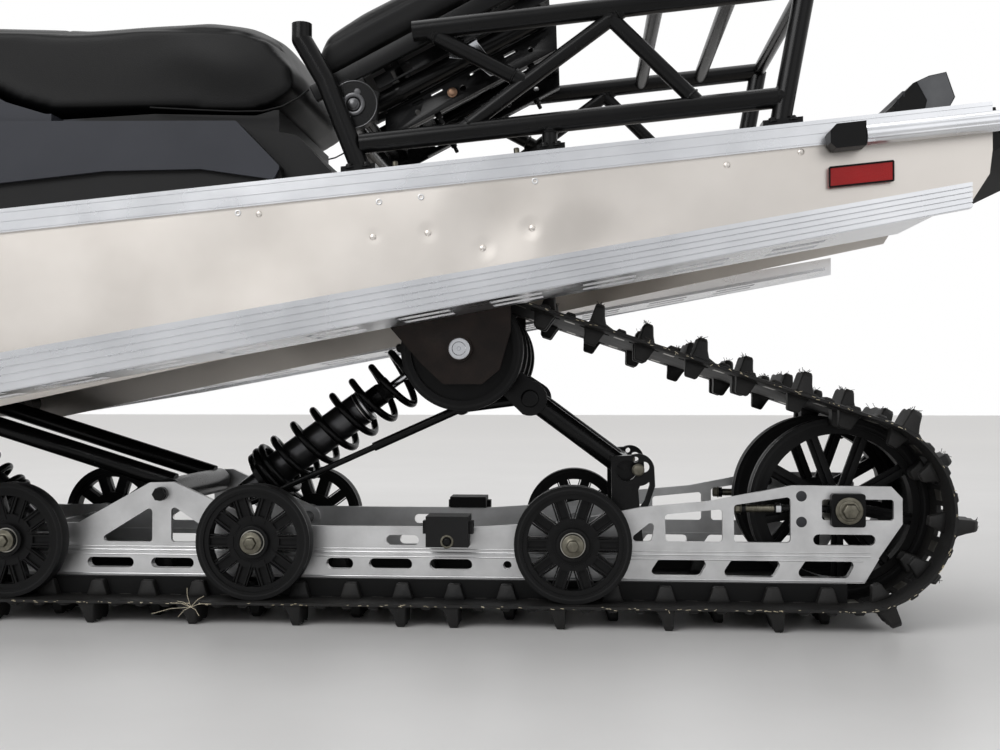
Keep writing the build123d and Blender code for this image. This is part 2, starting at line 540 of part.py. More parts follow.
# Rubber bump stops clamped on the rails' upper edge
STOP_X0, STOP_X1 = 704.0, 764.0
stop = block(STOP_X0, STOP_X1, -RAIL_Y - 34, -RAIL_Y - RAIL_T / 2, 108, 151)
stop += block(STOP_X0, STOP_X1, -RAIL_Y - 34, -RAIL_Y + 14, RAIL_TOP + FIT, 151)
stop += block(STOP_X0 - 5, STOP_X1 + 6, -RAIL_Y - 27, -RAIL_Y - 10, 126, 144)
stop = stop - disc(734, 116, 6, -RAIL_Y - 40, -RAIL_Y - 28)
save("bump_stops", pair(stop))


# Track: the belt runs round four arcs joined by tangents; lugs stand on it in staggered rows
ARCS = (
    (NOSE_X, NOSE_Z, NOSE_R),
    (REAR_X, REAR_Z, REAR_R + FIT),
    (IDLER_X, IDLER_Z, IDLER_R + FIT),
    (DRIVE_X, DRIVE_Z, DRIVE_R),
)


def normal_angle(first, second):
    x0, z0, r0 = first
    x1, z1, r1 = second
    gap = math.hypot(x1 - x0, z1 - z0)
    return math.degrees(math.atan2(z1 - z0, x1 - x0) - math.acos((r0 - r1) / gap))


def belt_path():
    spans = []
    count = len(ARCS)
    angles = [normal_angle(ARCS[i], ARCS[(i + 1) % count]) for i in range(count)]
    for i in range(count):
        x, z, r = ARCS[i]
        start, end = angles[i - 1] % 360, angles[i] % 360
        if end < start:
            end += 360
        spans.append((x, z, r, start, end))
    return spans


def at(arc, angle, grow):
    x, z, r = arc[:3]
    a = math.radians(angle)
    return (x + (r + grow) * math.cos(a), z + (r + grow) * math.sin(a))


SPANS = belt_path()


def loop_face(grow, y):
    edges = []
    for i, span in enumerate(SPANS):
        follower = SPANS[(i + 1) % len(SPANS)]
        ends = [at(span, angle, grow) for angle in (span[3], (span[3] + span[4]) / 2, span[4])]
        edges.append(ThreePointArc(*[(x, y, z) for x, z in ends]))
        near, far = at(span, span[4], grow), at(follower, follower[3], grow)
        edges.append(Line((near[0], y, near[1]), (far[0], y, far[1])))
    return make_face(edges)


def stations(count):
    pieces, total = [], 0.0
    for i, span in enumerate(SPANS):
        follower = SPANS[(i + 1) % len(SPANS)]
        sweep_length = math.radians(span[4] - span[3]) * (span[2] + BELT / 2)
        pieces.append(("arc", sweep_length, span, None))
        near, far = at(span, span[4], 0), at(follower, follower[3], 0)
        pieces.append(("line", math.hypot(far[0] - near[0], far[1] - near[1]), span, (near, far)))
        total += sweep_length + pieces[-1][1]
    found = []
    for k in range(count):
        left = (k + 0.5) * total / count
        for kind, length, span, ends in pieces:
            if left > length:
                left -= length
                continue
            if kind == "arc":
                angle = span[3] + (span[4] - span[3]) * left / length
                found.append((*at(span, angle, 0), angle))
            else:
                (x0, z0), (x1, z1) = ends
                share = left / length
                found.append((x0 + (x1 - x0) * share, z0 + (z1 - z0) * share, span[4]))
            break
    return found, total


STATIONS, LOOP = stations(PITCHES)
print("track loop", round(LOOP), "pitch", round(LOOP / PITCHES, 2))

OUTER_ROWS = (((-200, -146), (-62, 62), (146, 200)), ((-140, -68), (68, 140)))
NEAR_ROW, INNER_ROW = (155, 167), (100, 122)
belt = extrude(loop_face(BELT, -TRACK_HALF), amount=2 * TRACK_HALF, dir=(0, 1, 0))
belt -= extrude(loop_face(0, -TRACK_HALF - 1), amount=2 * TRACK_HALF + 2, dir=(0, 1, 0))
teeth = []
for k, (x, z, angle) in enumerate(STATIONS):
    place = Pos(x, 0, z) * Rot(0, -angle, 0)
    for y0, y1 in OUTER_ROWS[k % 2]:
        outline = [(BELT - 1, -15), (LUG + BELT, 1), (LUG + BELT, 8), (BELT - 1, 9)]
        teeth.append(place * side_plate(outline, y0, y1))
    for row in (NEAR_ROW, INNER_ROW)[:2 - k % 2]:
        for s in SIDES:
            y0, y1 = sorted((s * row[0], s * row[1]))
            outline = [(1, -14), (-DRIVE_LUG, -6), (-DRIVE_LUG, 6), (1, 14)]
            teeth.append(place * side_plate(outline, y0, y1))
track = belt.fuse(*teeth)
save("track", track)

drive = disc(DRIVE_X, DRIVE_Z, 17, -TUNNEL_HALF + WALL, TUNNEL_HALF - WALL)
for y in (-68, 68):
    drive += disc(DRIVE_X, DRIVE_Z, DRIVE_R - 1, y - 9, y + 9)
save("drive_axle", drive)

# Front suspension: two arms a side from the belly's flanks to the spindle's eyes
KING_TOP, KING_LOW = 345.0, 205.0
RAKE = math.tan(math.radians(SPINDLE_RAKE))


def king_x(z):
    return SPINDLE_X + (z - SPINDLE_Z) * RAKE


EYE_Y = SKI_Y - 32 - FIT
arms = []
for s in SIDES:
    for z, inner_z, inner_y, spread in ((KING_TOP, 400.0, 180.0, 150.0), (KING_LOW, 268.0, 140.0, 100.0)):
        eye = (king_x(z), s * EYE_Y, z)
        legs = [rod((king_x(z) + dx, s * inner_y, inner_z), eye, 11) for dx in (-spread, spread)]
        wishbone = join(legs) + Pos(*eye) * Cylinder(17, 30)
        if z == KING_LOW:
            x, y, seat_z = FRONT_SHOCK[0]
            wishbone += rod((x, s * y, 224), (x, s * y, seat_z - 4), 9) - disc(x, seat_z, EYE_R, s * y - 20, s * y + 20)
        arms.append(wishbone)


# Body shell: one loft through the table's sections, parted into belly pan and hood
def body_section(row, inset):
    x, low_w, low, mid_w, top_w, high, corner = row
    half = [(low_w - inset, low + inset), (mid_w - inset, PARTING), (top_w - inset, high - inset)]
    ring_points = half + [(-y, z) for y, z in half[::-1]]
    outline = FilletPolyline(*[(x, y, z) for y, z in ring_points], radius=corner - inset / 2, close=True)
    return make_face(outline)


def body_loft(inset, stretch):
    rows = [list(row) for row in BODY]
    rows[0][0] += stretch
    rows[-1][0] += BODY_SKIN if inset else 0
    return loft([body_section(row, inset) for row in rows], ruled=False)


shell_out = body_loft(0, 0)
shell_in = body_loft(BODY_SKIN, 4)
shell = shell_out - shell_in
FAR = 2000.0
belly = shell & block(-FAR, 0, -FAR, FAR, 0, PARTING - HOOD_GAP / 2)
for s in SIDES:
    y0, y1 = sorted((s * 200, s * (FRONT_SHOCK[1][1] - 14)))
    lug = block(FRONT_SHOCK[1][0] - 18, FRONT_SHOCK[1][0] + 18, y0, y1, 472, 508)
    belly += lug - shell_in
    y0, y1 = sorted((s * 50, s * 60))
    ear = block(HOOD_PIN[0], -1150, y0, y1, 500, PARTING - HOOD_GAP / 2) + disc(*HOOD_PIN, 10, y0, y1)
    belly += ear - shell_in
    belly -= disc(*HOOD_PIN, 5.05, y0 - 1, y1 + 1)
save("belly_pan", belly)

arms = [arm - shell_out for arm in arms]
save("front_arms", Compound(children=[max(a.solids(), key=lambda s: s.volume) for a in arms]))

hood = shell & block(-FAR, HOOD_REAR, -FAR, FAR, PARTING + HOOD_GAP / 2, FAR)
LAMP = (-1166.0, -1010.0, 34.0, 118.0, 560.0, 640.0)
lamps = []
for s in SIDES:
    y0, y1 = sorted((s * LAMP[2], s * LAMP[3]))
    opening = block(LAMP[0] - 40, LAMP[1], y0, y1, LAMP[4], LAMP[5])
    hood -= opening
    lens = shell & block(LAMP[0] - 40, LAMP[1] - FIT, y0 + FIT, y1 - FIT, LAMP[4] + FIT, LAMP[5] - FIT)
    lamps.append(max(lens.solids(), key=lambda s: s.volume))
for i in range(5):
    x = -930 + 46 * i
    for s in SIDES:
        y0, y1 = sorted((s * 150, s * 330))
        hood -= Pos(x, s * 240, 640) * Rot(0, 24, 0) * Box(16, 180, 120)
hood = max(hood.solids(), key=lambda s: s.volume)
for s in SIDES:
    y0, y1 = sorted((s * 61, s * 69))
    tab = block(HOOD_PIN[0] - 2, -1150, y0, y1, 526, 538) + block(HOOD_PIN[0] - 9, HOOD_PIN[0] + 8, y0, y1, 516, 538)
    hood += tab - shell_in
    hood += disc(*HOOD_PIN, 10, y0, y1) + disc(*HOOD_PIN, 5, *sorted((s * 48, s * 69)))
save("hood", hood)
save("headlamps", Compound(children=lamps))

# Windshield: a curved sheet that leans back from the hood's top
SHEET, SHIELD_R, SHIELD_LEAN = 5.0, 330.0, 32.0
lean = Plane(origin=(-760, 0, 800), z_dir=(math.sin(math.radians(SHIELD_LEAN)), 0, math.cos(math.radians(SHIELD_LEAN))),
             x_dir=(0, 1, 0))
bow = lean * (Cylinder(SHIELD_R, 1400) - Cylinder(SHIELD_R - SHEET, 1400))
bow = Pos(SHIELD_R * 0.92, 0, 0) * bow
half_view = [(120, 780), (240, 905), (258, 1010), (222, 1170), (150, 1228)]
front_view = half_view + [(-y, z) for y, z in half_view[::-1]]
outline = FilletPolyline(*[(-1100, y, z) for y, z in front_view], radius=45, close=True)
mask = extrude(make_face(outline), amount=640, dir=(1, 0, 0))
shield = (bow & mask) - shell_out
save("windshield", max(shield.solids(), key=lambda s: s.bounding_box().max.Z))

# Dash console behind the hood, down to the tunnel, and the engine block on the belly's floor
DASH_HALF = 150.0
dash_top = [(-438, 868), (-400, 884), (-330, 868), (-244, 830)]
dash = side_plate([(-438, top_z(-438) + FIT), *dash_top, (-244, top_z(-244) + FIT)], -DASH_HALF, DASH_HALF)
dash = fillet(dash.edges().filter_by(Axis.Y).group_by(Axis.Z)[-2], 14)
save("dash_console", dash)

engine = block(-900, -560, -120, 120, 200, 470) & body_loft(BODY_SKIN + FIT, 4)
save("engine", engine)

# Front bumper loop ahead of the nose
bumper_points = [(-1010, -150, 330), (-1180, -150, 390), (-1262, -110, 430), (-1262, 110, 430), (-1180, 150, 390), (-1010, 150, 330)]
bumper = bent_tube(bumper_points, 12, 40) - shell_out
save("front_bumper", max(bumper.solids(), key=lambda s: s.volume))

# Handlebar on its raked post
LEAN = math.tan(math.radians(POST_RAKE))


def post_at(z):
    return (POST_X + (z - POST_Z) * LEAN, 0, z)


post_foot, clamp = post_at(886), post_at(1064)
bar = rod(post_foot, clamp, 15)
bar += rod((clamp[0], -45, clamp[2]), (clamp[0], 45, clamp[2]), 22)
grips = []
for s in SIDES:
    bend = [(clamp[0], s * 20, clamp[2]), (clamp[0] + 6, s * 110, clamp[2] + 4), (clamp[0] + 22, s * 190, clamp[2] + 66),
            (clamp[0] + 76, s * 352, clamp[2] + 62)]
    bar += bent_tube(bend, 11, 30)
    tip, start = Vector(*bend[3]), Vector(*bend[2])
    way = (tip - start).normalized()
    a, b = tip - way * 118, tip + way * 6
    grip = rod(tuple(a), tuple(b), 17) - rod(tuple(a - way * 5), tuple(tip), 11 + FIT / 10)
    grips.append(grip)
    lever_root = tip - way * 132
    bar += rod(tuple(lever_root - way * 14), tuple(lever_root + way * 10), 18)
    bar += bent_tube([tuple(lever_root), (lever_root.X - 34, lever_root.Y, lever_root.Z - 6),
                      (tip.X - 52, tip.Y - s * 12, tip.Z - 8)], 5, 12)
save("handlebar", bar)
save("hand_grips", Compound(children=[s for g in grips for s in g.solids()]))

# Spindles and skis: the ski bolt lies across the spindle's fork
BOLT_Z, SKI_TOP = 92.0, 24.0
SOLE, SKI_REAR, SKI_FLAT, TIP_R, TIP_SWEEP = 12.0, -480.0, -1175.0, 470.0, 46.0


def tip_arc(grow, y0, y1):
    x, z = SKI_FLAT, SOLE + TIP_R
    far = 900.0
    a = math.radians(270 - TIP_SWEEP)
    wedge = side_plate([(x, z), (x, z - far), (x + far * math.cos(a), z - far), (x + far * math.cos(a), z + far * math.sin(a))], y0, y1)
    return (disc(x, z, TIP_R, y0, y1) - disc(x, z, TIP_R - grow, y0 - 1, y1 + 1)) & wedge


ski = block(SKI_FLAT, SKI_REAR, -SKI_HALF, SKI_HALF, SOLE, SKI_TOP) + tip_arc(SKI_TOP - SOLE, -SKI_HALF, SKI_HALF)
for y0, y1 in ((-SKI_HALF, -SKI_HALF + 12), (SKI_HALF - 12, SKI_HALF)):
    ski += block(SKI_FLAT, SKI_REAR - 30, y0, y1, SKI_TOP - 1, 40) + tip_arc(40 - SOLE, y0, y1)
ski += side_plate([(-1120, SKI_TOP - 1), (-1040, 56), (-760, 56), (-640, SKI_TOP - 1)], -26, 26)
for y in (-30, 30):
    ski += side_plate([(-985, 30), (-955, 112), (-860, 112), (-815, 30)], y - 4, y + 4)
ski += rod((SPINDLE_X - 6, -44, BOLT_Z), (SPINDLE_X - 6, 44, BOLT_Z), 9)
ski += block(-1120, -700, -5, 5, 0, SOLE + 1)
tip_a = math.radians(270 - TIP_SWEEP)
tip_x, tip_z = SKI_FLAT + (TIP_R - 6) * math.cos(tip_a), SOLE + TIP_R + (TIP_R - 6) * math.sin(tip_a)
loop = [(tip_x + 60, -58, tip_z - 42), (tip_x - 22, -58, tip_z + 22), (tip_x - 46, 0, tip_z + 48), (tip_x - 22, 58, tip_z + 22), (tip_x + 60, 58, tip_z - 42)]
ski += bent_tube(loop, 8, 24)

spindle_low = king_x(BOLT_Z + 34)
spindle = rod((king_x(372), 0, 372), (spindle_low, 0, BOLT_Z + 34), 15)
spindle += side_plate([(SPINDLE_X - 26, BOLT_Z - 14), (SPINDLE_X + 16, BOLT_Z - 14), (spindle_low + 20, BOLT_Z + 50), (spindle_low - 20, BOLT_Z + 50)], -25.5, 25.5)
spindle -= disc(SPINDLE_X - 6, BOLT_Z, 9.05, -60, 60)
for name, s in (("left", -1), ("right", 1)):
    save(f"{name}_spindle", Pos(0, s * SKI_Y, 0) * spindle)
    save(f"{name}_ski", Pos(0, s * SKI_Y, 0) * ski)

# Tilting rear seat: built level about its hinge and then turned up as it stands in the photograph
FRAME_HALF, FRAME_LEN = 176.0, 330.0
turn = Pos(HINGE_X, 0, HINGE_Z) * Rot(0, -SEAT_TILT, 0)
frame = []
for s in SIDES:
    y0, y1 = sorted((s * (FRAME_HALF - 12), s * FRAME_HALF))
    frame.append(block(-46, FRAME_LEN, y0, y1, 34, 58))
    frame.append(side_plate([(-20, -16), (20, -16), (30, 40), (-30, 40)], y0, y1))
    y0, y1 = sorted((s * 118, s * 124))
    frame.append(side_plate([(14, -46), (FRAME_LEN - 30, -46), (FRAME_LEN - 20, 10), (50, 10)], y0, y1))
for x in (-34, 60, 180, 300):
    frame.append(block(x, x + 22, -FRAME_HALF, FRAME_HALF, 34, 46))
for x in (70, 285):
    frame.append(block(x, x + 20, -124, 124, -20, 35))
frame.append(rod((20, 60, -6), (300, 60, -6), 17))
frame.append(rod((0, -PLATE_Y1, 0), (0, PLATE_Y1, 0), PIN_R))
frame = join(frame)
for s in SIDES:
    for x in (120, 250):
        frame -= disc(x, -22, 6, *sorted((s * 110, s * 130)))
save("rear_seat_frame", turn * frame)

cushion = block(-40, FRAME_LEN + 10, -SEAT_HALF + 2, SEAT_HALF - 2, 58 + FIT, 140)
cushion = fillet(cushion.edges().group_by(Axis.Z)[-1], 30)
cushion = fillet(cushion.edges().filter_by(Axis.Z), 20)
save("rear_seat_cushion", turn * cushion)
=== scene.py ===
import bpy
import bmesh
import math
import random
from mathutils import Matrix, Vector, noise as field


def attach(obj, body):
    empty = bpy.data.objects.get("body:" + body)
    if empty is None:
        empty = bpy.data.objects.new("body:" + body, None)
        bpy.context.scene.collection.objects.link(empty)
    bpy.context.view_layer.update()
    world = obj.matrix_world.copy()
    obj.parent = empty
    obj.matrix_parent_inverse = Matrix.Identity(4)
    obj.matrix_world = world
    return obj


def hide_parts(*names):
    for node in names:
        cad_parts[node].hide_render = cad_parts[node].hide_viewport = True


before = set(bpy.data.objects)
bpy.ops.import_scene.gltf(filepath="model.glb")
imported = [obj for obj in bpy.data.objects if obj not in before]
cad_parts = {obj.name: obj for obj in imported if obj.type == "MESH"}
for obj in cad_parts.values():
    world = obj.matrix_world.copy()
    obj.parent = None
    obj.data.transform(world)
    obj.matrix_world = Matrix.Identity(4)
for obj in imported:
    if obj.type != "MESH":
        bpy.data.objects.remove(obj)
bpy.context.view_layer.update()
MM = 0.001

# Camera: matched to the wheels, rails and tunnel lines of the photograph
FOCAL_PX, IMAGE_W, IMAGE_H = 1131.0, 1000.0, 750.0
RIGHT_OF_VANISHING, BELOW_HORIZON = 80.0, 18.0
YAW, PITCH = math.atan(RIGHT_OF_VANISHING / FOCAL_PX), -math.atan(BELOW_HORIZON / FOCAL_PX)
EYE = Vector((0.920, -1.750, 0.324))
look = Vector((-math.sin(YAW) * math.cos(PITCH), math.cos(YAW) * math.cos(PITCH), -math.sin(PITCH)))
right = Vector((math.cos(YAW), math.sin(YAW), 0))
up = right.cross(look)
cam_data = bpy.data.cameras.new("camera")
cam_data.sensor_width = 36.0
cam_data.lens = 36.0 * FOCAL_PX / IMAGE_W
cam_data.clip_start = 0.02
cam = bpy.data.objects.new("camera", cam_data)
bpy.context.scene.collection.objects.link(cam)
cam.matrix_world = Matrix((
    (right.x, up.x, -look.x, EYE.x),
    (right.y, up.y, -look.y, EYE.y),
    (right.z, up.z, -look.z, EYE.z),
    (0, 0, 0, 1)))
bpy.context.scene.camera = cam
bpy.context.scene.view_settings.view_transform = "Standard"


# Node materials
def new_material(name):
    m = bpy.data.materials.new(name)
    m.use_nodes = True
    m.node_tree.nodes.clear()
    out = m.node_tree.nodes.new("ShaderNodeOutputMaterial")
    shader = m.node_tree.nodes.new("ShaderNodeBsdfPrincipled")
    m.node_tree.links.new(shader.outputs[0], out.inputs[0])
    return m, m.node_tree, shader


def feed(tree, value, socket):
    # Another node's output is linked, and a plain number or colour is set
    if isinstance(value, bpy.types.NodeSocket):
        tree.links.new(value, socket)
    else:
        socket.default_value = value


def node(tree, kind, fed=None, **values):
    n = tree.nodes.new(kind)
    for key, value in values.items():
        setattr(n, key, value)
    for key, value in (fed or {}).items():
        feed(tree, value, n.inputs[key])
    return n


def object_point(tree):
    return tree.nodes.new("ShaderNodeTexCoord").outputs["Object"]


def place(tree, scale=(1, 1, 1)):
    fed = {"Scale": scale, "Vector": object_point(tree)}
    return node(tree, "ShaderNodeMapping", fed).outputs["Vector"]


def split(tree, vector):
    return node(tree, "ShaderNodeSeparateXYZ", {0: vector}).outputs


def noise(tree, vector, scale, detail=3.0, rough=0.55):
    fed = {"Scale": scale, "Detail": detail, "Roughness": rough, "Vector": vector}
    return node(tree, "ShaderNodeTexNoise", fed).outputs["Fac"]


def ramp(tree, fac, stops):
    r = node(tree, "ShaderNodeValToRGB", {"Fac": fac})
    while len(r.color_ramp.elements) < len(stops):
        r.color_ramp.elements.new(0.5)
    for element, (position, colour) in zip(r.color_ramp.elements, stops):
        element.position = position
        element.color = (*colour, 1)
    return r.outputs["Color"]


def two_tones(tree, fac, dark, light):
    return ramp(tree, fac, ((0.3, dark), (0.7, light)))


def mapped(tree, value, start=(0.0, 1.0), end=(0.0, 1.0), **values):
    fed = {"From Min": start[0], "From Max": start[1], "To Min": end[0], "To Max": end[1], "Value": value}
    return node(tree, "ShaderNodeMapRange", fed, **values).outputs["Result"]


def figured(tree, operation, *values):
    return node(tree, "ShaderNodeMath", dict(enumerate(values)), operation=operation).outputs[0]


def mixed(tree, factor, a, b):
    return node(tree, "ShaderNodeMix", {"Factor": factor, "A": a, "B": b}, data_type="RGBA").outputs["Result"]


def bump(tree, shader, height, strength, distance):
    fed = {"Strength": strength, "Distance": distance, "Height": height}
    tree.links.new(node(tree, "ShaderNodeBump", fed).outputs["Normal"], shader.inputs["Normal"])


SOCKETS = {"specular": "Specular IOR Level", "ior": "IOR", "transmission": "Transmission Weight"}


def finish(shader, **values):
    # Feeds the shader's sockets: base_color is its Base Color
    for key, value in values.items():
        feed(shader.id_data, value, shader.inputs[SOCKETS.get(key, key.replace("_", " ").title())])


def finish_of(name, dark, light, rough, metallic=0.0, grain=900.0, stretch=(1, 1, 1), bump_by=0.15,
              depth=0.0004, patch=9.0, coat=0.0, specular=0.5):
    m, tree, shader = new_material(name)
    mottled = noise(tree, place(tree), patch, 4.0)
    finish(shader, base_color=two_tones(tree, mottled, dark, light), metallic=metallic, specular=specular,
           roughness=mapped(tree, mottled, end=(rough - 0.07, rough + 0.07)))
    bump(tree, shader, noise(tree, place(tree, stretch), grain, 2.0), bump_by, depth)
    if coat:
        finish(shader, coat_weight=coat, coat_roughness=0.08)
    return m


def even(level):
    return (level, level, level * 1.03)


M = {
    "sheet": finish_of("bare_sheet", (0.65, 0.61, 0.565), (0.75, 0.71, 0.665), 0.40, 1.0, 60, (1, 1, 22),
                       0.05, 0.0003, 5),
    "bright": finish_of("bright_extrusion", (0.68, 0.69, 0.71), (0.81, 0.82, 0.84), 0.28, 1.0, 70,
                        (0.4, 1, 30), 0.06, 0.0003, 8),
    "rail": finish_of("rail_plate", (0.54, 0.54, 0.54), (0.70, 0.70, 0.70), 0.42, 1.0, 90, (0.5, 1, 14),
                      0.10, 0.0004, 22),
    "black_paint": finish_of("black_powder_coat", even(0.003), even(0.005), 0.26, grain=1500, bump_by=0.10,
                             specular=0.17),
    "black_plastic": finish_of("black_moulding", even(0.004), even(0.007), 0.42, grain=1100, bump_by=0.2,
                               specular=0.14),
    "grey_plastic": finish_of("dark_grey_moulding", (0.018, 0.0185, 0.022), (0.024, 0.025, 0.029), 0.46,
                              grain=1800, bump_by=0.2, specular=0.35),
    "gloss_black": finish_of("gloss_black_shell", even(0.006), even(0.010), 0.22, grain=500, bump_by=0.02,
                             coat=0.4),
    "red": finish_of("red_reflector", (0.24, 0.004, 0.005), (0.36, 0.008, 0.008), 0.30, bump_by=0.5,
                     depth=0.001, specular=0.3),
    "rubber": finish_of("black_rubber", even(0.006), even(0.011), 0.62, grain=800, bump_by=0.3,
                        depth=0.0005, specular=0.2),
    "vinyl": finish_of("seat_vinyl", even(0.003), even(0.005), 0.42, grain=650, bump_by=0.35, depth=0.0005,
                       specular=0.15),
    "steel": finish_of("zinc_steel", (0.36, 0.345, 0.31), (0.50, 0.485, 0.44), 0.36, 1.0, 600, bump_by=0.1,
                       depth=0.0003, patch=60),
    "olive": finish_of("olive_zinc", (0.10, 0.094, 0.073), (0.20, 0.187, 0.150), 0.44, 1.0, 500,
                       depth=0.0003, patch=120),
    "chrome": finish_of("bright_rod", (0.60, 0.61, 0.63), (0.72, 0.73, 0.75), 0.16, 1.0, 300, bump_by=0.03,
                        patch=40),
    "copper": finish_of("coppery_zinc", (0.25, 0.15, 0.10), (0.38, 0.24, 0.16), 0.38, 1.0, 300, bump_by=0.1,
                        patch=90),
    "satin": finish_of("satin_shock_body", (0.075, 0.075, 0.077), (0.100, 0.100, 0.104), 0.30, 0.85, 700,
                       bump_by=0.05, depth=0.0002, patch=12),
    "carrier": finish_of("brown_black_plate", (0.008, 0.0055, 0.0045), (0.018, 0.0115, 0.009), 0.5,
                         grain=260, bump_by=0.3, depth=0.0006, patch=40, specular=0.2),
    "lamp_grey": finish_of("lamp_shell_grey", (0.055, 0.057, 0.062), (0.075, 0.078, 0.084), 0.30,
                           grain=500, bump_by=0.05, patch=30),
    "iron": finish_of("engine_casting", (0.20, 0.20, 0.20), (0.30, 0.30, 0.31), 0.55, 1.0, 300,
                      bump_by=0.4, depth=0.0006),
    "fibre": finish_of("frayed_cord", (0.50, 0.42, 0.26), (0.70, 0.64, 0.50), 0.70, bump_by=0.1),
}

M["glass"], tree, shader = new_material("smoked_sheet")
tint = two_tones(tree, noise(tree, place(tree), 6.0), (0.55, 0.58, 0.60), (0.62, 0.65, 0.67))
finish(shader, base_color=tint, transmission=0.85, roughness=0.06, ior=1.45)
M["lens"], tree, shader = new_material("lamp_lens")
tint = two_tones(tree, noise(tree, place(tree), 60.0), (0.75, 0.78, 0.80), (0.88, 0.90, 0.92))
finish(shader, base_color=tint, transmission=0.6, roughness=0.12)

# Track rubber: black, with pale dust in patches and in the grain
M["track"], tree, shader = new_material("track_rubber")
grain = noise(tree, place(tree), 380.0, 3.0)
patchy = noise(tree, place(tree), 16.0, 5.0, 0.65)
clean = ramp(tree, patchy, ((0.35, even(0.004)), (0.75, (0.013, 0.012, 0.011))))
dust = ramp(tree, grain, ((0.45, (0.010, 0.010, 0.010)), (0.80, (0.050, 0.046, 0.040))))
dusty = mixed(tree, mapped(tree, patchy, (0.62, 0.85), (0.0, 0.5)), clean, dust)
finish(shader, base_color=dusty, roughness=mapped(tree, patchy, end=(0.45, 0.72)), specular=0.35)
bump(tree, shader, grain, 0.5, 0.0008)

# Console moulding: blue-grey raised panel and front shoulder; the body beside and behind them is painted near
# black, as painted shade where it faces away from the light
M["console"], tree, shader = new_material("console_moulding_painted_shade")
axes = split(tree, object_point(tree))
mottle = noise(tree, place(tree), 7.0, 4.0)
raised = mapped(tree, figured(tree, "ABSOLUTE", axes["Y"]), (0.1975, 0.2015))
ahead, above = mapped(tree, axes["X"], (0.205, 0.185)), mapped(tree, axes["Z"], (0.706, 0.710))
blue_grey = figured(tree, "MAXIMUM", raised, figured(tree, "MULTIPLY", ahead, above))
# Painted shade: the body outside the panel and shoulder gets the near-black tones
panel_and_painted_shade = mixed(tree, blue_grey, two_tones(tree, mottle, even(0.006), even(0.009)),
                 two_tones(tree, mottle, (0.028, 0.030, 0.037), (0.036, 0.038, 0.046)))
finish(shader, base_color=panel_and_painted_shade, roughness=mapped(tree, mottle, end=(0.42, 0.54)), specular=0.20)
bump(tree, shader, noise(tree, place(tree), 1600.0, 2.0), 0.22, 0.0004)

# The solids that stay visible, by look
NODES_OF = {
    "sheet": ("tunnel",),
    "bright": ("corner_strips", "running_boards", "grab_bar"),
    "black_plastic": ("bar_end_caps", "tail_lamp", "slide_strips", "bogie_wheels", "rear_wheels",
                      "carrier_wheels", "adjuster_blocks", "belly_pan", "left_ski", "right_ski"),
    "black_paint": ("rear_rack", "seat_hinge_plates", "skid_axles", "front_arm", "rear_arm",
                    "rear_arm_bracket", "shock_absorbers", "coil_springs", "travel_rod", "front_arms",
                    "front_bumper", "handlebar", "left_spindle", "right_spindle", "rear_seat_frame"),
    "rubber": ("snow_flap", "bump_stops", "hand_grips"),
    "vinyl": ("operator_seat", "rear_seat_cushion"),
    "red": ("side_reflectors",), "console": ("seat_console",), "rail": ("slide_rails",),
    "carrier": ("carrier_plates",), "track": ("track",), "steel": ("drive_axle",), "iron": ("engine",),
    "grey_plastic": ("dash_console",), "gloss_black": ("hood",), "lens": ("headlamps",),
    "glass": ("windshield",),
}
for look_name, names in NODES_OF.items():
    for name in names:
        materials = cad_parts[name].data.materials
        materials.clear()
        materials.append(M[look_name])


def new_object(name, points, faces):
    mesh = bpy.data.meshes.new(name)
    mesh.from_pydata(points, [], faces)
    obj = bpy.data.objects.new(name, mesh)
    bpy.context.scene.collection.objects.link(obj)
    return obj


# Shapes are gathered in millimetres and become one object a piece
class Shape:
    def __init__(self):
        self.verts, self.faces = [], []

    def add(self, points, faces):
        base = len(self.verts)
        self.verts += [Vector(p) for p in points]
        self.faces += [tuple(base + i for i in f) for f in faces]

    def loft(self, sections):
        # Closed sections with as many points each, joined in turn and capped at both ends
        n = len(sections[0])
        last = (len(sections) - 1) * n
        faces = [tuple(range(n))[::-1], tuple(range(last, last + n))]
        for a in range(0, last, n):
            faces += [(a + k, a + (k + 1) % n, a + n + (k + 1) % n, a + n + k) for k in range(n)]
        self.add([p for section in sections for p in section], faces)

    def to_object(self, name):
        return new_object(name, [tuple(v * MM) for v in self.verts], self.faces)


def facing(origin, axis):
    turn = Vector((0, 0, 1)).rotation_difference(Vector(axis).normalized()).to_matrix().to_4x4()
    return Matrix.Translation(Vector(origin)) @ turn


def across(point, sign):
    return facing(point, (0, sign, 0))


def arc_of(cx, cz, r, start, end, steps):
    angles = [math.radians(start + (end - start) * i / steps) for i in range(steps + 1)]
    return [(cx + r * math.cos(a), cz + r * math.sin(a)) for a in angles]


def lathe(shape, at, profile, segments, closed=False):
    n, points, faces = len(profile), [], []
    for i in range(segments):
        a = 2 * math.pi * i / segments
        points += [at @ Vector((r * math.cos(a), r * math.sin(a), h)) for r, h in profile]
        j = (i + 1) % segments
        for k in range(n if closed else n - 1):
            m = (k + 1) % n
            faces.append((i * n + k, j * n + k, j * n + m, i * n + m))
    shape.add(points, faces)


def rod(shape, at, r, length, segments):
    lathe(shape, at, [(0, 0), (r, 0), (r, length), (0, length)], segments)


def ring(shape, at, inner, outer, low, high, r, steps, segments):
    # A ring whose section is a rectangle with rounded corners
    profile = []
    for cx, cz, start in ((outer - r, high - r, 0), (inner + r, high - r, 90),
                          (inner + r, low + r, 180), (outer - r, low + r, 270)):
        profile += arc_of(cx, cz, r, start, start + 90, steps)
    lathe(shape, at, profile, segments, True)


def prism(shape, at, outline, low, high):
    shape.loft([[at @ Vector((u, v, h)) for u, v in outline] for h in (low, high)])


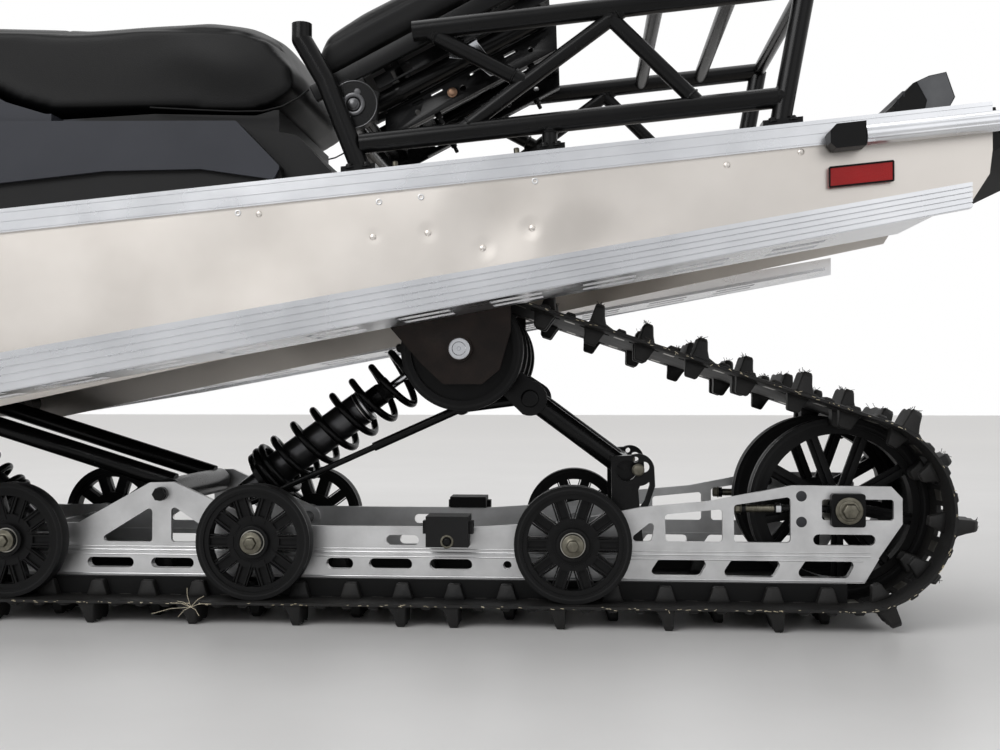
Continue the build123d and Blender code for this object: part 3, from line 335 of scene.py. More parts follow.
# Stands a prism's outline up in the side view's x and z, with its height towards -Y
SIDE = Matrix(((1, 0, 0, 0), (0, 0, -1, 0), (0, 1, 0, 0), (0, 0, 0, 1)))
STILL = Matrix.Identity(4)


def side_plate(shape, at, outline, y0, y1):
    prism(shape, at @ SIDE, outline, *sorted((-y0, -y1)))


def slab(shape, at, x0, x1, y0, y1, z0, z1):
    side_plate(shape, at, [(x0, z0), (x1, z0), (x1, z1), (x0, z1)], y0, y1)


def tube(shape, points, radius, sides):
    line = [Vector(p) for p in points]
    sections, side = [], None
    for i, p in enumerate(line):
        way = (line[min(i + 1, len(line) - 1)] - line[max(i - 1, 0)]).normalized()
        if side is None:
            side = way.orthogonal().normalized()
        side = (side - way * side.dot(way)).normalized()
        other = way.cross(side)
        angles = [2 * math.pi * k / sides for k in range(sides)]
        sections.append([p + (side * math.cos(a) + other * math.sin(a)) * radius for a in angles])
    shape.loft(sections)


def hex_head(shape, at, flats, height, flange=0.0, thick=1.6):
    if flange:
        washer = [(0, 0), (flange, 0), (flange, thick * 0.6), (flange - 0.8, thick), (0, thick)]
        lathe(shape, at, washer, 40)
    r = flats / 2 / math.cos(math.pi / 6)
    low = thick if flange else 0.0
    head = [(0, low), (r, low), (r, low + height * 0.82), (r * 0.86, low + height), (0, low + height)]
    lathe(shape, at, head, 6)


# Bevel in millimetres, angle of a sharp edge and rounds of a bolt's bevel
BOLT = (0.3, 30, 1)
BEVELLED_ANGLE = math.radians(35)


def make(name, shape, look_name, slot_name, bevel=0.0, sharp=38, rounds=2, body="chassis", replaced=()):
    obj = shape.to_object(name)
    mesh = obj.data
    bm = bmesh.new()
    bm.from_mesh(mesh)
    bmesh.ops.remove_doubles(bm, verts=bm.verts, dist=0.00001)
    bmesh.ops.dissolve_degenerate(bm, edges=bm.edges, dist=0.00001)
    bmesh.ops.recalc_face_normals(bm, faces=bm.faces)
    if bevel:
        edges = [e for e in bm.edges if len(e.link_faces) == 2 and e.calc_face_angle(0) > BEVELLED_ANGLE]
        bmesh.ops.bevel(bm, geom=edges, offset=bevel * MM, segments=rounds, profile=0.6, affect="EDGES",
                        clamp_overlap=True)
    bm.to_mesh(mesh)
    bm.free()
    mesh.shade_smooth()
    mesh.set_sharp_from_angle(angle=math.radians(sharp))
    mesh.materials.append(M[look_name])
    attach(obj, body)
    if replaced:
        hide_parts(*replaced)
    return obj


def from_photo(px, py, y):
    # The point of a plane of constant Y, in millimetres, that a pixel of the photograph shows
    ray = look * FOCAL_PX + right * (px - IMAGE_W / 2) - up * (py - IMAGE_H / 2)
    t = (y * MM - EYE.y) / ray.y
    return (EYE + ray * t) * 1000


TUNNEL_SLOPE = 0.0937
# Half the tunnel's width, to the outer face of its side sheet
SHEET_Y = 222.0


def top_z(x):
    return 578.0 + TUNNEL_SLOPE * (x - 112)


# Seats: a crowned foam form under sewn vinyl, swelled by cloth pressure
def cushion_mesh(name, outline, half, shrink, crown, tuck, at):
    centre = Vector([sum(values) / len(outline) for values in zip(*outline)])
    sections = []
    for angle in range(-90, 91, 15):
        s = math.sin(math.radians(angle))
        edge = 1 - (1 - abs(s)) ** 2
        pull = shrink + tuck * max(0.0, abs(s) - 0.55) / 0.45
        section = []
        for x, z in outline:
            away = Vector((x, z)) - centre
            p = centre + away * (1 - pull / max(away.length, 1))
            drop = crown * edge * abs(s) ** 3 * (1 if away.y > 0 else 0)
            section.append(at @ Vector((p.x, s * (half - shrink), p.y - drop)))
        sections.append(section)
    shape = Shape()
    shape.loft(sections)
    return make(name, shape, "vinyl", "vinyl")


def run_on(obj, kind, **values):
    m = obj.modifiers.new(kind.lower(), kind)
    for key, value in values.items():
        setattr(m, key, value)
    bpy.context.view_layer.objects.active = obj
    bpy.ops.object.modifier_apply(modifier=m.name)


def evened(mesh, values, rounds):
    # Each round gives a vertex the mean of its own value and its neighbours'
    near = [[] for _ in values]
    for edge in mesh.edges:
        a, b = edge.vertices
        near[a].append(b)
        near[b].append(a)
    for _ in range(rounds):
        values = [(own + sum(values[k] for k in beside)) / (len(beside) + 1)
                  for own, beside in zip(values, near)]
    return values


VOXEL = 6.0
FILL_FRAMES = 20
CLOTH = {"use_pressure": True, "uniform_pressure_force": 4.0, "quality": 5, "tension_stiffness": 12,
         "compression_stiffness": 12, "bending_stiffness": 2.0}


def swell(obj, cap, floor_of, ceiling_of):
    run_on(obj, "REMESH", mode="VOXEL", voxel_size=VOXEL * MM, use_smooth_shade=True)
    run_on(obj, "SMOOTH", factor=0.5, iterations=6)
    rest = [v.co.copy() for v in obj.data.vertices]
    normals = [v.normal.copy() for v in obj.data.vertices]
    m = obj.modifiers.new("fill", "CLOTH")
    for key, value in CLOTH.items():
        setattr(m.settings, key, value)
    m.settings.effector_weights.gravity = 0.0
    m.point_cache.frame_start = 1
    m.point_cache.frame_end = FILL_FRAMES
    for f in range(1, FILL_FRAMES + 1):
        bpy.context.scene.frame_set(f)
    puffed = obj.evaluated_get(bpy.context.evaluated_depsgraph_get()).to_mesh()
    moved = [v.co.copy() for v in puffed.vertices]
    obj.modifiers.remove(m)
    bpy.context.scene.frame_set(1)
    # The cover bulges along its normals only, and evenly, so that it stays taut
    lifts = [max(0.0, min((b - a).dot(n), cap * MM)) for a, b, n in zip(rest, moved, normals)]
    for v, a, n, lift in zip(obj.data.vertices, rest, normals, evened(obj.data, lifts, 30)):
        p = a + n * lift
        p.z = max(floor_of(p), min(p.z, ceiling_of(p)))
        v.co = p
    run_on(obj, "SUBSURF", levels=1, render_levels=1)
    run_on(obj, "SMOOTH", factor=0.4, iterations=2)


def stitch_grooves(obj, lines, depth, width):
    normals = [v.normal.copy() for v in obj.data.vertices]
    for v, n in zip(obj.data.vertices, normals):
        pull = max(math.exp(-(near(v.co) / (width * MM)) ** 2) for near in lines)
        v.co = v.co - n * depth * MM * pull


def interpolate(table, x):
    for (x0, z0), (x1, z1) in zip(table, table[1:]):
        if x0 <= x <= x1:
            return z0 + (z1 - z0) * (x - x0) / (x1 - x0)
    return table[0][1] if x < table[0][0] else table[-1][1]


SEAT_TOP = ((-236, 866), (-180, 884), (0, 876), (380, 874), (450, 868), (488, 852), (508, 824), (531, 756))
SEAT_LOW = ((-236, 812), (-120, 804), (0, 786), (60, 763), (102, 740), (162, 721.5), (306, 728), (456, 723),
            (492, 733), (531, 754))
SIDE_SEAM = ((-236, 868), (0, 856), (120, 852), (300, 849), (430, 842), (531, 812))
SEAT_OUTLINE = ((-228, 818), (-120, 806), (0, 788), (60, 765), (102, 743), (160, 725), (306, 730),
                (456, 726), (488, 735), (522, 756), (518, 790), (502, 824), (484, 848), (450, 862),
                (390, 870), (200, 870), (0, 873), (-120, 880), (-180, 881), (-216, 872), (-229, 850))
# Metres to a stitch line that isn't near
FAR = 1.0
seat = cushion_mesh("seat_cushion", SEAT_OUTLINE, 175, 6, 18, 5, STILL)
swell(seat, 7, lambda p: (interpolate(SEAT_LOW, p.x * 1000) + 0.3) * MM,
      lambda p: (interpolate(SEAT_TOP, p.x * 1000) + 2) * MM)
stitch_grooves(seat, [
    lambda p: (p.z * 1000 - interpolate(SIDE_SEAM, p.x * 1000)) * MM if abs(p.y) > 0.13 else FAR,
    lambda p: (abs(p.y) - 0.118) if p.z * 1000 > interpolate(SIDE_SEAM, p.x * 1000) + 8 else FAR,
    lambda p: (p.x - 0.150 - 0.10 * abs(p.y)) if p.z > 0.845 else FAR,
], 1.6, 2.6)
welt = Shape()
WELT = ((150, 108.6), (167, 109.5), (200, 111.2), (235, 112.6), (263, 112.2), (282, 107.5), (298, 99.0),
        (309, 90.5))
for side in (1, -1):
    edge = [from_photo(px, py, -175.5) for px, py in WELT]
    tube(welt, [Vector((p.x, p.y * side, p.z + 1.5)) for p in edge], 1.3, 8)
make("seat_welt", welt, "vinyl", "vinyl")
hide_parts("operator_seat")

# The rear seat is drawn level round its hinge and tilted there
HINGE_X, HINGE_Z = 604, 728
TILT = math.radians(27.0)
tilted = Matrix.Translation((HINGE_X, 0, HINGE_Z)) @ Matrix.Rotation(-TILT, 4, "Y")
level = tilted.inverted()
BACK_OUTLINE = ((-34, 60), (60, 60), (200, 60), (334, 60), (334, 84), (322, 112), (296, 130), (200, 137),
                (60, 137), (0, 130), (-26, 112), (-36, 84))


def levelled(p):
    return level @ (p * 1000)


def held(p, low, high):
    q = levelled(p)
    q.z = max(low, min(q.z, high))
    return (tilted @ q) * MM


def end_seam(p):
    q = levelled(p)
    return (q.z - 104) * MM if abs(p.y) > 0.13 or not -10 < q.x < 310 else FAR


cushion = cushion_mesh("rear_cushion", BACK_OUTLINE, 173, 6, 20, 6, tilted)
# No floor and no ceiling here: held limits it afterwards
swell(cushion, 6, lambda p: -1.0, lambda p: 9.0)
for v in cushion.data.vertices:
    v.co = held(v.co, 58.4, 140)
stitch_grooves(cushion, [end_seam, lambda p: (abs(p.y) - 0.10) if levelled(p).z > 118 else FAR], 1.8, 2.6)
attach(cushion, "rear_seat")
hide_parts("rear_seat_cushion")

# Tilting seat's frame: rails, slotted beams, crossbars, tray walls and latch
seat_rails, beams, beam_holes, seat_bars, seat_steel, seat_copper, seat_dark = (Shape() for _ in range(7))
TRAY_TUBE = ((0, 0), (9, 0), (13, 4), (13, 40), (14, 42), (14, 50), (13, 52), (13, 278), (9, 282), (0, 282))
LATCH = ((150, 10), (168, -2), (181, -20), (190, -41), (204, -44), (201, -14), (196, 12), (204, 30),
         (166, 30))
for sign in (-1, 1):
    slab(seat_rails, tilted, -46, 330, sign * 164, sign * 176, 34, 58)
    side_plate(seat_rails, tilted, [(-20, -16), (20, -16), (30, 34.2), (-30, 34.2)], sign * 164, sign * 176)
    side_plate(beams, tilted, [(14, -43), (296, -43), (312, -9), (30, -9)], sign * 104, sign * 110)
    slab(seat_bars, tilted, 34, 308, sign * 92, sign * 110, -8.8, -5.6)
    slab(seat_bars, tilted, 52, 296, sign * 92, sign * 103.8, -43, -40)
    slab(beams, tilted, 40, 318, sign * 146, sign * 149, 16, 33.8)
    lathe(seat_bars, tilted @ facing((18, sign * 128, 4), (1, 0, 0)), TRAY_TUBE, 32)
    for x, z, r in ((74, -29, 4.2), (149, -28, 4.6), (210, -27, 4.2), (262, -25, 4.2)):
        rod(beam_holes, tilted @ across((x, sign * 96, z), sign), r, 22, 24)
    for x in (81, 112, 176, 232):
        slab(beam_holes, tilted, x - 9, x + 9, sign * 96, sign * 118, -17.5, -13.5)
    for x in (66, 150, 236):
        slab(beam_holes, tilted, x, x + 30, sign * 138, sign * 156, 19, 31)
    hex_head(seat_copper, tilted @ across((132, sign * 110.2, -27), sign), 10, 3.5, 7.6)
    for x in (99, 253):
        hex_head(seat_dark, tilted @ facing((x, sign * 98, -43), (0, 0, -1)), 10, 6)
        tip = [(3.2, 0), (3.2, 9), (2.4, 10), (0, 10)]
        lathe(seat_dark, tilted @ facing((x, sign * 98, -49), (0, 0, -1)), tip, 14)
    side_plate(seat_steel, tilted, LATCH, sign * 142, sign * 143.6)
    hex_head(seat_dark, tilted @ across((190, sign * 143.6, -12), sign), 9, 4, 6)
    rod(seat_bars, tilted @ across((0, sign * 176.2, 0), sign), 9, 14.4, 32)
for x in (-34, 60, 180, 300):
    slab(seat_bars, tilted, x, x + 22, -163.8, 163.8, 34, 46)
for x in (70, 285):
    slab(seat_bars, tilted, x, x + 20, -103.8, 103.8, -20, 33.8)
rod(seat_bars, tilted @ across((0, -163.6, 0), 1), 9, 327.2, 32)
ON_SEAT = {"body": "rear_seat"}
OF_FRAME = {"body": "rear_seat", "replaced": ("rear_seat_frame",)}
beam = make("seat_frame_beams", beams, "black_paint", "black_paint", **OF_FRAME)
cutter = beam_holes.to_object("beam_holes")
run_on(beam, "BOOLEAN", object=cutter, operation="DIFFERENCE", solver="EXACT")
bpy.data.objects.remove(cutter)
run_on(beam, "BEVEL", width=0.0009, segments=2, limit_method="ANGLE", angle_limit=math.radians(40))
make("seat_frame_rails", seat_rails, "black_paint", "black_paint", 2.2, 38, 3, **OF_FRAME)
make("seat_frame_bars", seat_bars, "black_paint", "black_paint", 0.9, **OF_FRAME)
make("seat_latches", seat_steel, "chrome", "steel", 0.4, **ON_SEAT)
make("seat_frame_copper_bolts", seat_copper, "copper", "steel", *BOLT, **ON_SEAT)
make("seat_frame_bolts", seat_dark, "black_paint", "black_paint", *BOLT, **ON_SEAT)

# Hinge plates' hardware, on their outer faces beside the rack's posts
hinge_dark, hinge_bright = Shape(), Shape()
for sign in (-1, 1):
    y = sign * 190.9
    hinge = across((HINGE_X, y, HINGE_Z), sign)
    ring(hinge_dark, hinge, 10.5, 16.5, -0.6, 2.2, 0.8, 2, 40)
    hex_head(hinge_dark, hinge, 12, 2.6, 9)
    lathe(hinge_dark, across((609, y, 745), sign), [(0, 2.4), (3.4, 2.2), (5.2, 1.0), (5.6, 0), (0, 0)], 24)
    plug = [(0, 0.5), (4.0, 0.5), (4.4, 0), (4.4, -0.4), (0, -0.4)]
    lathe(hinge_bright, across((597, y, 714), sign), plug, 24)
    tube(hinge_dark, [(x, y, z) for x, z in arc_of(HINGE_X, HINGE_Z, 33, -150, 142.5, 39)], 1.1, 6)
make("hinge_hardware", hinge_dark, "satin", "steel", *BOLT)
make("hinge_plugs", hinge_bright, "rail", "steel")

# Dents in the tunnel's side sheet round its middle rivets, and broad shallow ones behind them
# Each is a pixel of the photograph, a reach in millimetres and a depth
DENTS = ((374, 236, 14, 0.08), (428, 232, 18, 0.14), (484, 248, 20, 0.20), (531, 228, 20, 0.20),
         (496, 222, 90, 1.6), (585, 246, 70, 1.2), (640, 200, 110, 1.5), (250, 250, 150, 1.5))
tree = M["sheet"].node_tree
grain_bump = next(n for n in tree.nodes if n.type == "BUMP")
axes = split(tree, object_point(tree))
width = figured(tree, "ABSOLUTE", axes["Y"])
folded = node(tree, "ShaderNodeCombineXYZ", {"X": axes["X"], "Y": width, "Z": axes["Z"]}).outputs[0]
height = 0.0
for px, py, reach, depth in DENTS:
    spot = from_photo(px, py, -SHEET_Y) * MM
    ends = {0: folded, 1: (spot.x, SHEET_Y * MM, spot.z)}
    away = node(tree, "ShaderNodeVectorMath", ends, operation="DISTANCE").outputs["Value"]
    fall = mapped(tree, away, (0.0, reach * MM), (-depth, 0.0), interpolation_type="SMOOTHSTEP")
    height = figured(tree, "ADD", fall, height)
bump(tree, grain_bump, height, 0.8, 0.004)

# Track: belt with its windows and clips, tall and low lugs outside, two rows of drive lugs inside
BELT_T, BELT_HALF = 6.0, 203.0
# The belt's inner face goes round these circles: x, z, radius
ARCS = ((40.0, 334.11, 300.0), (1290.0, 161.41, 127.3), (757.0, 384.0, 85.3), (-281.0, 372.0, 92.0))
PITCHES = 54


def leave_angle(first, second):
    x0, z0, r0 = first
    x1, z1, r1 = second
    return math.degrees(math.atan2(z1 - z0, x1 - x0) - math.acos((r0 - r1) / math.hypot(x1 - x0, z1 - z0)))


leaving = [leave_angle(ARCS[i], ARCS[(i + 1) % 4]) for i in range(4)]
LOOP = []
for i, (x, z, r) in enumerate(ARCS):
    start, end = leaving[i - 1] % 360, leaving[i] % 360
    end += 360 if end < start else 0
    LOOP.append(("arc", math.radians(end - start) * (r + BELT_T / 2), (x, z, r, start, end)))
    x1, z1, r1 = ARCS[(i + 1) % 4]
    a = math.radians(end)
    p = (x + r * math.cos(a), z + r * math.sin(a))
    q = (x1 + r1 * math.cos(a), z1 + r1 * math.sin(a))
    LOOP.append(("line", math.dist(p, q), (p, q, end)))
LOOP_LEN = sum(part[1] for part in LOOP)
PITCH = LOOP_LEN / PITCHES


def on_loop(s):
    # Foot on the belt's inner face and the outward direction there
    s %= LOOP_LEN
    for kind, length, data in LOOP:
        if s > length:
            s -= length
            continue
        t = s / length
        if kind == "arc":
            x, z, r, start, end = data
            a = math.radians(start + (end - start) * t)
            foot = Vector((x + r * math.cos(a), 0, z + r * math.sin(a)))
        else:
            (x0, z0), (x1, z1), end = data
            a = math.radians(end)
            foot = Vector((x0 + (x1 - x0) * t, 0, z0 + (z1 - z0) * t))
        return foot, Vector((math.cos(a), 0, math.sin(a)))
    return on_loop(0)


def on_belt(s, out, y):
    foot, n = on_loop(s)
    return foot + n * out + Vector((0, y, 0))


# Where the first pitch starts, and the pitch at which the lug rows swap
PHASE, SPLICE = -43.0, 13
rng = random.Random(7)
belt = Shape()
# Shares of a pitch along the belt, and distances across it
ROWS = (0.0, 0.10, 0.20, 0.35, 0.5, 0.65, 0.80, 0.90)
COLS = (-BELT_HALF, -198, -154, -127, -96, -48, 0, 48, 96, 127, 154, 198, BELT_HALF)
WINDOW_STARTS = (-154, 127)


def is_window(i, j):
    return 0.19 < ROWS[i % len(ROWS)] < 0.79 and COLS[j] in WINDOW_STARTS


count = PITCHES * len(ROWS)
points, faces = [], []
for i in range(count):
    s = (i // len(ROWS) + ROWS[i % len(ROWS)]) * PITCH + PHASE
    for y in COLS:
        slim = 1.2 if abs(y) == BELT_HALF else 0.0
        points += [on_belt(s, slim, y), on_belt(s, BELT_T - slim, y)]
w = len(COLS) * 2
for i in range(count):
    n = (i + 1) % count
    for j in range(len(COLS) - 1):
        a, b, c, d = i * w + 2 * j, i * w + 2 * j + 2, n * w + 2 * j + 2, n * w + 2 * j
        if is_window(i, j):
            if not is_window(i - 1, j):
                faces.append((a, b, b + 1, a + 1))
            if not is_window(i + 1, j):
                faces.append((d, c, c + 1, d + 1))
            faces += [(a, d, d + 1, a + 1), (b, c, c + 1, b + 1)]
            continue
        faces += [(a, b, c, d), (a + 1, d + 1, c + 1, b + 1)]
    a, d = i * w, n * w
    faces.append((a, d, d + 1, a + 1))
    a, d = i * w + w - 2, n * w + w - 2
    faces.append((a, a + 1, d + 1, d))
belt.add(points, faces)


def lug(s, y0, y1, profile, drop, ends, waves=0):
    # Sections across the belt: profile is (along, outward) at full height, lower at both ends
    inside = [y0 + ends + (y1 - y0 - 2 * ends) * (k + 1) / (waves + 1) for k in range(waves)]
    stations = [y0, y0 + ends, *inside, y1 - ends, y1]
    sections = []
    for m, y in enumerate(stations):
        share = drop if m in (0, len(stations) - 1) else 1.0
        if 1 < m < len(stations) - 2 and m % 2 == 0:
            share = 0.90
        narrow = 1.0 if share > 0.95 else 0.93
        section = []
        for along, out in profile:
            base = 4.5 if out > 0 else 1.0
            height = base + (out - base) * share if abs(out) > abs(base) else out
            section.append(on_belt(s + along * narrow, height, y))
        sections.append(section)
    return sections


# Lug profiles: along the belt, and outward from its inner face
TALL = [(-19, 4.5), (-14, 8.5), (-8.5, 19), (-4.5, 31), (-2.5, 33.9), (7.5, 33.9), (9, 31), (9.5, 9),
        (12, 4.5)]
LOW = [(-9, 4.5), (-5, 10.5), (5, 10.5), (9, 4.5)]
RIB = [(-30, 4.5), (-17, 9.0), (-12, 11), (-12, 4.5)]
DRIVE = [(-15.5, 1.0), (-12.5, -7), (-8.6, -20.6), (-6.5, -22), (6.5, -22), (8.6, -20.6), (12.5, -7),
         (15.5, 1.0)]
rubber_lugs, drive_lugs, nibs = Shape(), Shape(), Shape()
OUTER_ROWS = (((-200, -146), (-62, 62), (146, 200)), ((-140, -68), (68, 140)))
for k in range(PITCHES):
    s = (k + 0.5) * PITCH + PHASE
    row = k % 2 if k < SPLICE else (k + 1) % 2
    for y0, y1 in OUTER_ROWS[row]:
        rubber_lugs.loft(lug(s, y0, y1, TALL, 0.80, 6.0, 3))
        for i in range(9):
            y = rng.uniform(y0 + 5, y1 - 5)
            root = on_belt(s + rng.uniform(0, 7), 32.0, y)
            tip = on_belt(s + rng.uniform(-3, 10), 33.6, y + rng.uniform(-3, 3))
            if root.z > 45:
                tip = on_belt(s + rng.uniform(-5, 12), rng.uniform(35, 39), y + rng.uniform(-4, 4))
            tube(nibs, [root, tip], 0.45, 4)
        for y in (y0 + 10, (y0 + y1) / 2, y1 - 10):
            rubber_lugs.loft(lug(s, y - 3, y + 3, RIB, 0.9, 1.0))
    for y0, y1 in OUTER_ROWS[1 - row]:
        rubber_lugs.loft(lug(s, y0 + 3, y1 - 3, LOW, 0.7, 4.0))
    for y0, y1 in ((-198, -160), (-58, 58), (160, 198)):
        rubber_lugs.loft(lug(s + PITCH / 2, y0, y1, LOW, 0.6, 6.0))
    for inner in ((154, 168), (99, 123))[:2 - k % 2]:
        for sign in (-1, 1):
            y0, y1 = sorted((sign * inner[0], sign * inner[1]))
            drive_lugs.loft(lug(s, y0, y1, DRIVE, 0.96, 1.6))
for part in (rubber_lugs, drive_lugs):
    for v in part.verts:
        wear = field.noise(v * 0.03) * 0.9
        v.x += wear * 0.8
        if v.z > 2:
            v.z += wear * 0.6
OF_TRACK = {"replaced": ("track",)}
make("track_belt", belt, "track", "track_rubber", sharp=50, **OF_TRACK)
make("track_lugs", rubber_lugs, "track", "track_rubber", 1.3, 45, 1, **OF_TRACK)
make("lug_nibs", nibs, "track", "track_rubber")
make("drive_lugs", drive_lugs, "track", "track_rubber", 1.2, 45, 1, **OF_TRACK)

clips = Shape()
CLIP = ((-6.5, BELT_T + 0.2), (-6.5, -0.05), (6.5, -0.05), (6.5, BELT_T + 0.2),
        (7.7, BELT_T + 1.0), (7.7, -0.22), (-7.7, -0.22), (-7.7, BELT_T + 1.0))
for k in range(PITCHES):
    for sign in (-1, 1):
        clips.loft([[on_belt(k * PITCH + PHASE + along, out, y) for along, out in CLIP]
                    for y in sorted((sign * 127.5, sign * 153.5))])
make("track_clips", clips, "steel", "steel")

# Worn cord ends that show along the belt's edge, and one longer frayed tuft
frays = Shape()
for i in range(620):
    s, sign = rng.uniform(0, LOOP_LEN), rng.choice((-1, 1))
    out, reach = rng.gauss(3.2, 0.7), rng.uniform(1.0, 5.0)
    root = on_belt(s, out, sign * 202.9)
    tip = on_belt(s + reach, out + rng.uniform(-0.8, 0.8), sign * (BELT_HALF + rng.uniform(0, 1.2)))
    if i % 14 == 0:
        tip = on_belt(s + rng.uniform(-5, 5), out + rng.uniform(-5, 5), sign * rng.uniform(204, 207))
    mid = (root + tip) / 2 + Vector((0, sign * 0.5, 0))
    if min(root.z, tip.z) > 1.5:
        tube(frays, [root, mid, tip], 0.38, 4)
burst = from_photo(190.7, 607, -BELT_HALF)
TUFT = ((151, 614), (171, 603), (177, 601), (187, 588), (211, 604), (199, 616), (178, 617), (204, 596))
for px, py in TUFT:
    tip = from_photo(px, py, -209)
    tip.z = max(tip.z, 3)
    mid = (burst + tip) / 2 + Vector((rng.uniform(-2, 2), -2, 3))
    tube(frays, [burst, mid, tip], 0.32, 4)
make("belt_cord_ends", frays, "fibre", "track_rubber")

# Wheels: rounded tyres over the moulded wheels, bearing rings, washers and bolts on the hubs
tyres, bearings, hub_rims, hub_bolts, spoke_edges = (Shape() for _ in range(5))
BOGIE_X, BOGIE_Z, BOGIE_R = (107.0, 463.0, 910.0), 115.41, 81.0
REAR_X, REAR_Z = 1290.0, 161.41
IDLER_X, IDLER_Z = 757.0, 384.0
SPOKES = 10
for sign in (-1, 1):
    for x in BOGIE_X:
        at = across((x, sign * 182, BOGIE_Z), sign)
        ring(tyres, at, 69.6, BOGIE_R + 0.15, -13.2, 13.2, 5.5, 4, 72)
        ring(hub_rims, at, 17.5, 23.0, 12.4, 15.4, 1.0, 3, 40)
        ring(bearings, at, 15.2, 17.6, 12.6, 14.2, 0.5, 2, 40)
        hex_head(hub_bolts, across((x, sign * 203.0, BOGIE_Z), sign), 15.5, 7, 15.4)
        for i in range(SPOKES):
            angle = math.radians(360 / SPOKES * i)
            turned = Matrix.Translation((x, 0, BOGIE_Z)) @ Matrix.Rotation(angle, 4, "Y")
            for edge in (-1, 1):
                z0, z1 = sorted((edge * 8.9, edge * 10.6))
                slab(spoke_edges, turned, 35, 64.5, sign * 179, sign * 191.0, z0, z1)
    at = across((REAR_X, sign * 82, REAR_Z), sign)
    ring(tyres, at, 114.6, 127.15, -14.2, 14.2, 5.5, 4, 96)
    ring(bearings, at, 16, 27, 13.4, 15.0, 0.7, 2, 40)
    for y in (183, 64):
        ring(tyres, across((IDLER_X, sign * y, IDLER_Z), sign), 73.6, 85.15, -12.2, 12.2, 5, 4, 72)
make("wheel_spoke_edges", spoke_edges, "black_paint", "black_plastic", 0.5)
make("wheel_tyres", tyres, "rubber", "black_rubber")
make("wheel_bearings", bearings, "steel", "steel")
make("wheel_hub_rims", hub_rims, "black_plastic", "black_plastic")

# Shocks: coil springs with dead turns, rods, bodies, end rings and rubber stops
WIRE = 5.6
# Coils that lie on one another at the lower and the upper seat
DEAD_LOW, DEAD_HIGH = 1.7, 0.9
coils, rods, bumpers, ends, skins = (Shape() for _ in range(5))


def shock(low, high, start, end, body_r, mean, turns):
    # The coil starts and ends at these shares of the way from the low eye to the high one
    a, span = Vector(low), Vector(high) - Vector(low)

    def at(share):
        return facing(a + span * share, span)

    rise = (span.length * (end - start) - (DEAD_LOW + DEAD_HIGH) * 2 * WIRE) / (turns - 0.4)
    whole = DEAD_LOW + DEAD_HIGH + turns - 0.4
    line = []
    steps = int(whole * 30)
    for i in range(steps + 1):
        t = whole * i / steps
        h = min(t, DEAD_LOW) * 2 * WIRE
        h += max(0.0, min(t - DEAD_LOW, turns - 0.4)) * rise
        h += max(0.0, t - DEAD_LOW - turns + 0.4) * 2 * WIRE
        angle = 2 * math.pi * t + 2.4
        line.append(at(start) @ Vector((mean * math.cos(angle), mean * math.sin(angle), h)))
    tube(coils, line, WIRE, 12)
    rod_from, body_to = max(0.62, start + 0.1), max(0.56, start + 0.05)
    lathe(rods, at(rod_from - 0.01), [(5.9, 0), (5.9, span.length * (0.965 - rod_from))], 24)
    r = body_r + 0.35
    lathe(skins, at(start), [(body_r * 0.7, 0), (r, 1.5), (r, span.length * (body_to - start) - 12)], 56)
    r = body_r * 0.68 + 0.4
    lathe(skins, at(0.075), [(r, 0), (r, span.length * (start - 0.11))], 48)
    for profile in (((-body_r * 0.5, 0.4), (-1.5, 0.4), (0.3, -1.4), (0.3, -4), (-0.2, -4.6)),
                    ((0.1, -9), (0.6, -9.5), (0.6, -10.5), (0.1, -11))):
        lathe(ends, at(body_to), [(body_r + r, h) for r, h in profile], 48)
    big = body_r / 26
    bumper = [(13, 0), (16, 4), (13.5, 10), (17, 15), (14.5, 21), (18, 27), (18, 34)]
    lathe(bumpers, at(end - 0.17), [(6, 0), *((r * big, h) for r, h in bumper), (6, 34)], 32)
    seat_ring = [(mean - 9, -3), (mean - 5, -3), (mean - 5, 3), (mean - 9, 3)]
    for share in (start - 0.015, end + 0.02):
        lathe(bumpers, at(share), seat_ring, 40, True)


shock((371, 0, 150), (757, 0, 429), 0.17, 0.76, 26, 41.8, 7)
shock((64, 0, 106), (-178, 0, 330), 0.20, 0.68, 22, 35, 5)
for sign in (-1, 1):
    shock((-884, sign * 372, 262), (-866, sign * 286, 490), 0.52, 0.88, 20, 30, 5)
make("shock_coils", coils, "black_paint", "black_paint", sharp=60, replaced=("coil_springs",))
make("shock_piston_rods", rods, "chrome", "steel")
make("shock_end_rings", ends, "rail", "bright_aluminium")
make("shock_bodies", skins, "satin", "black_paint")
make("shock_bumpers", bumpers, "rubber", "black_rubber")

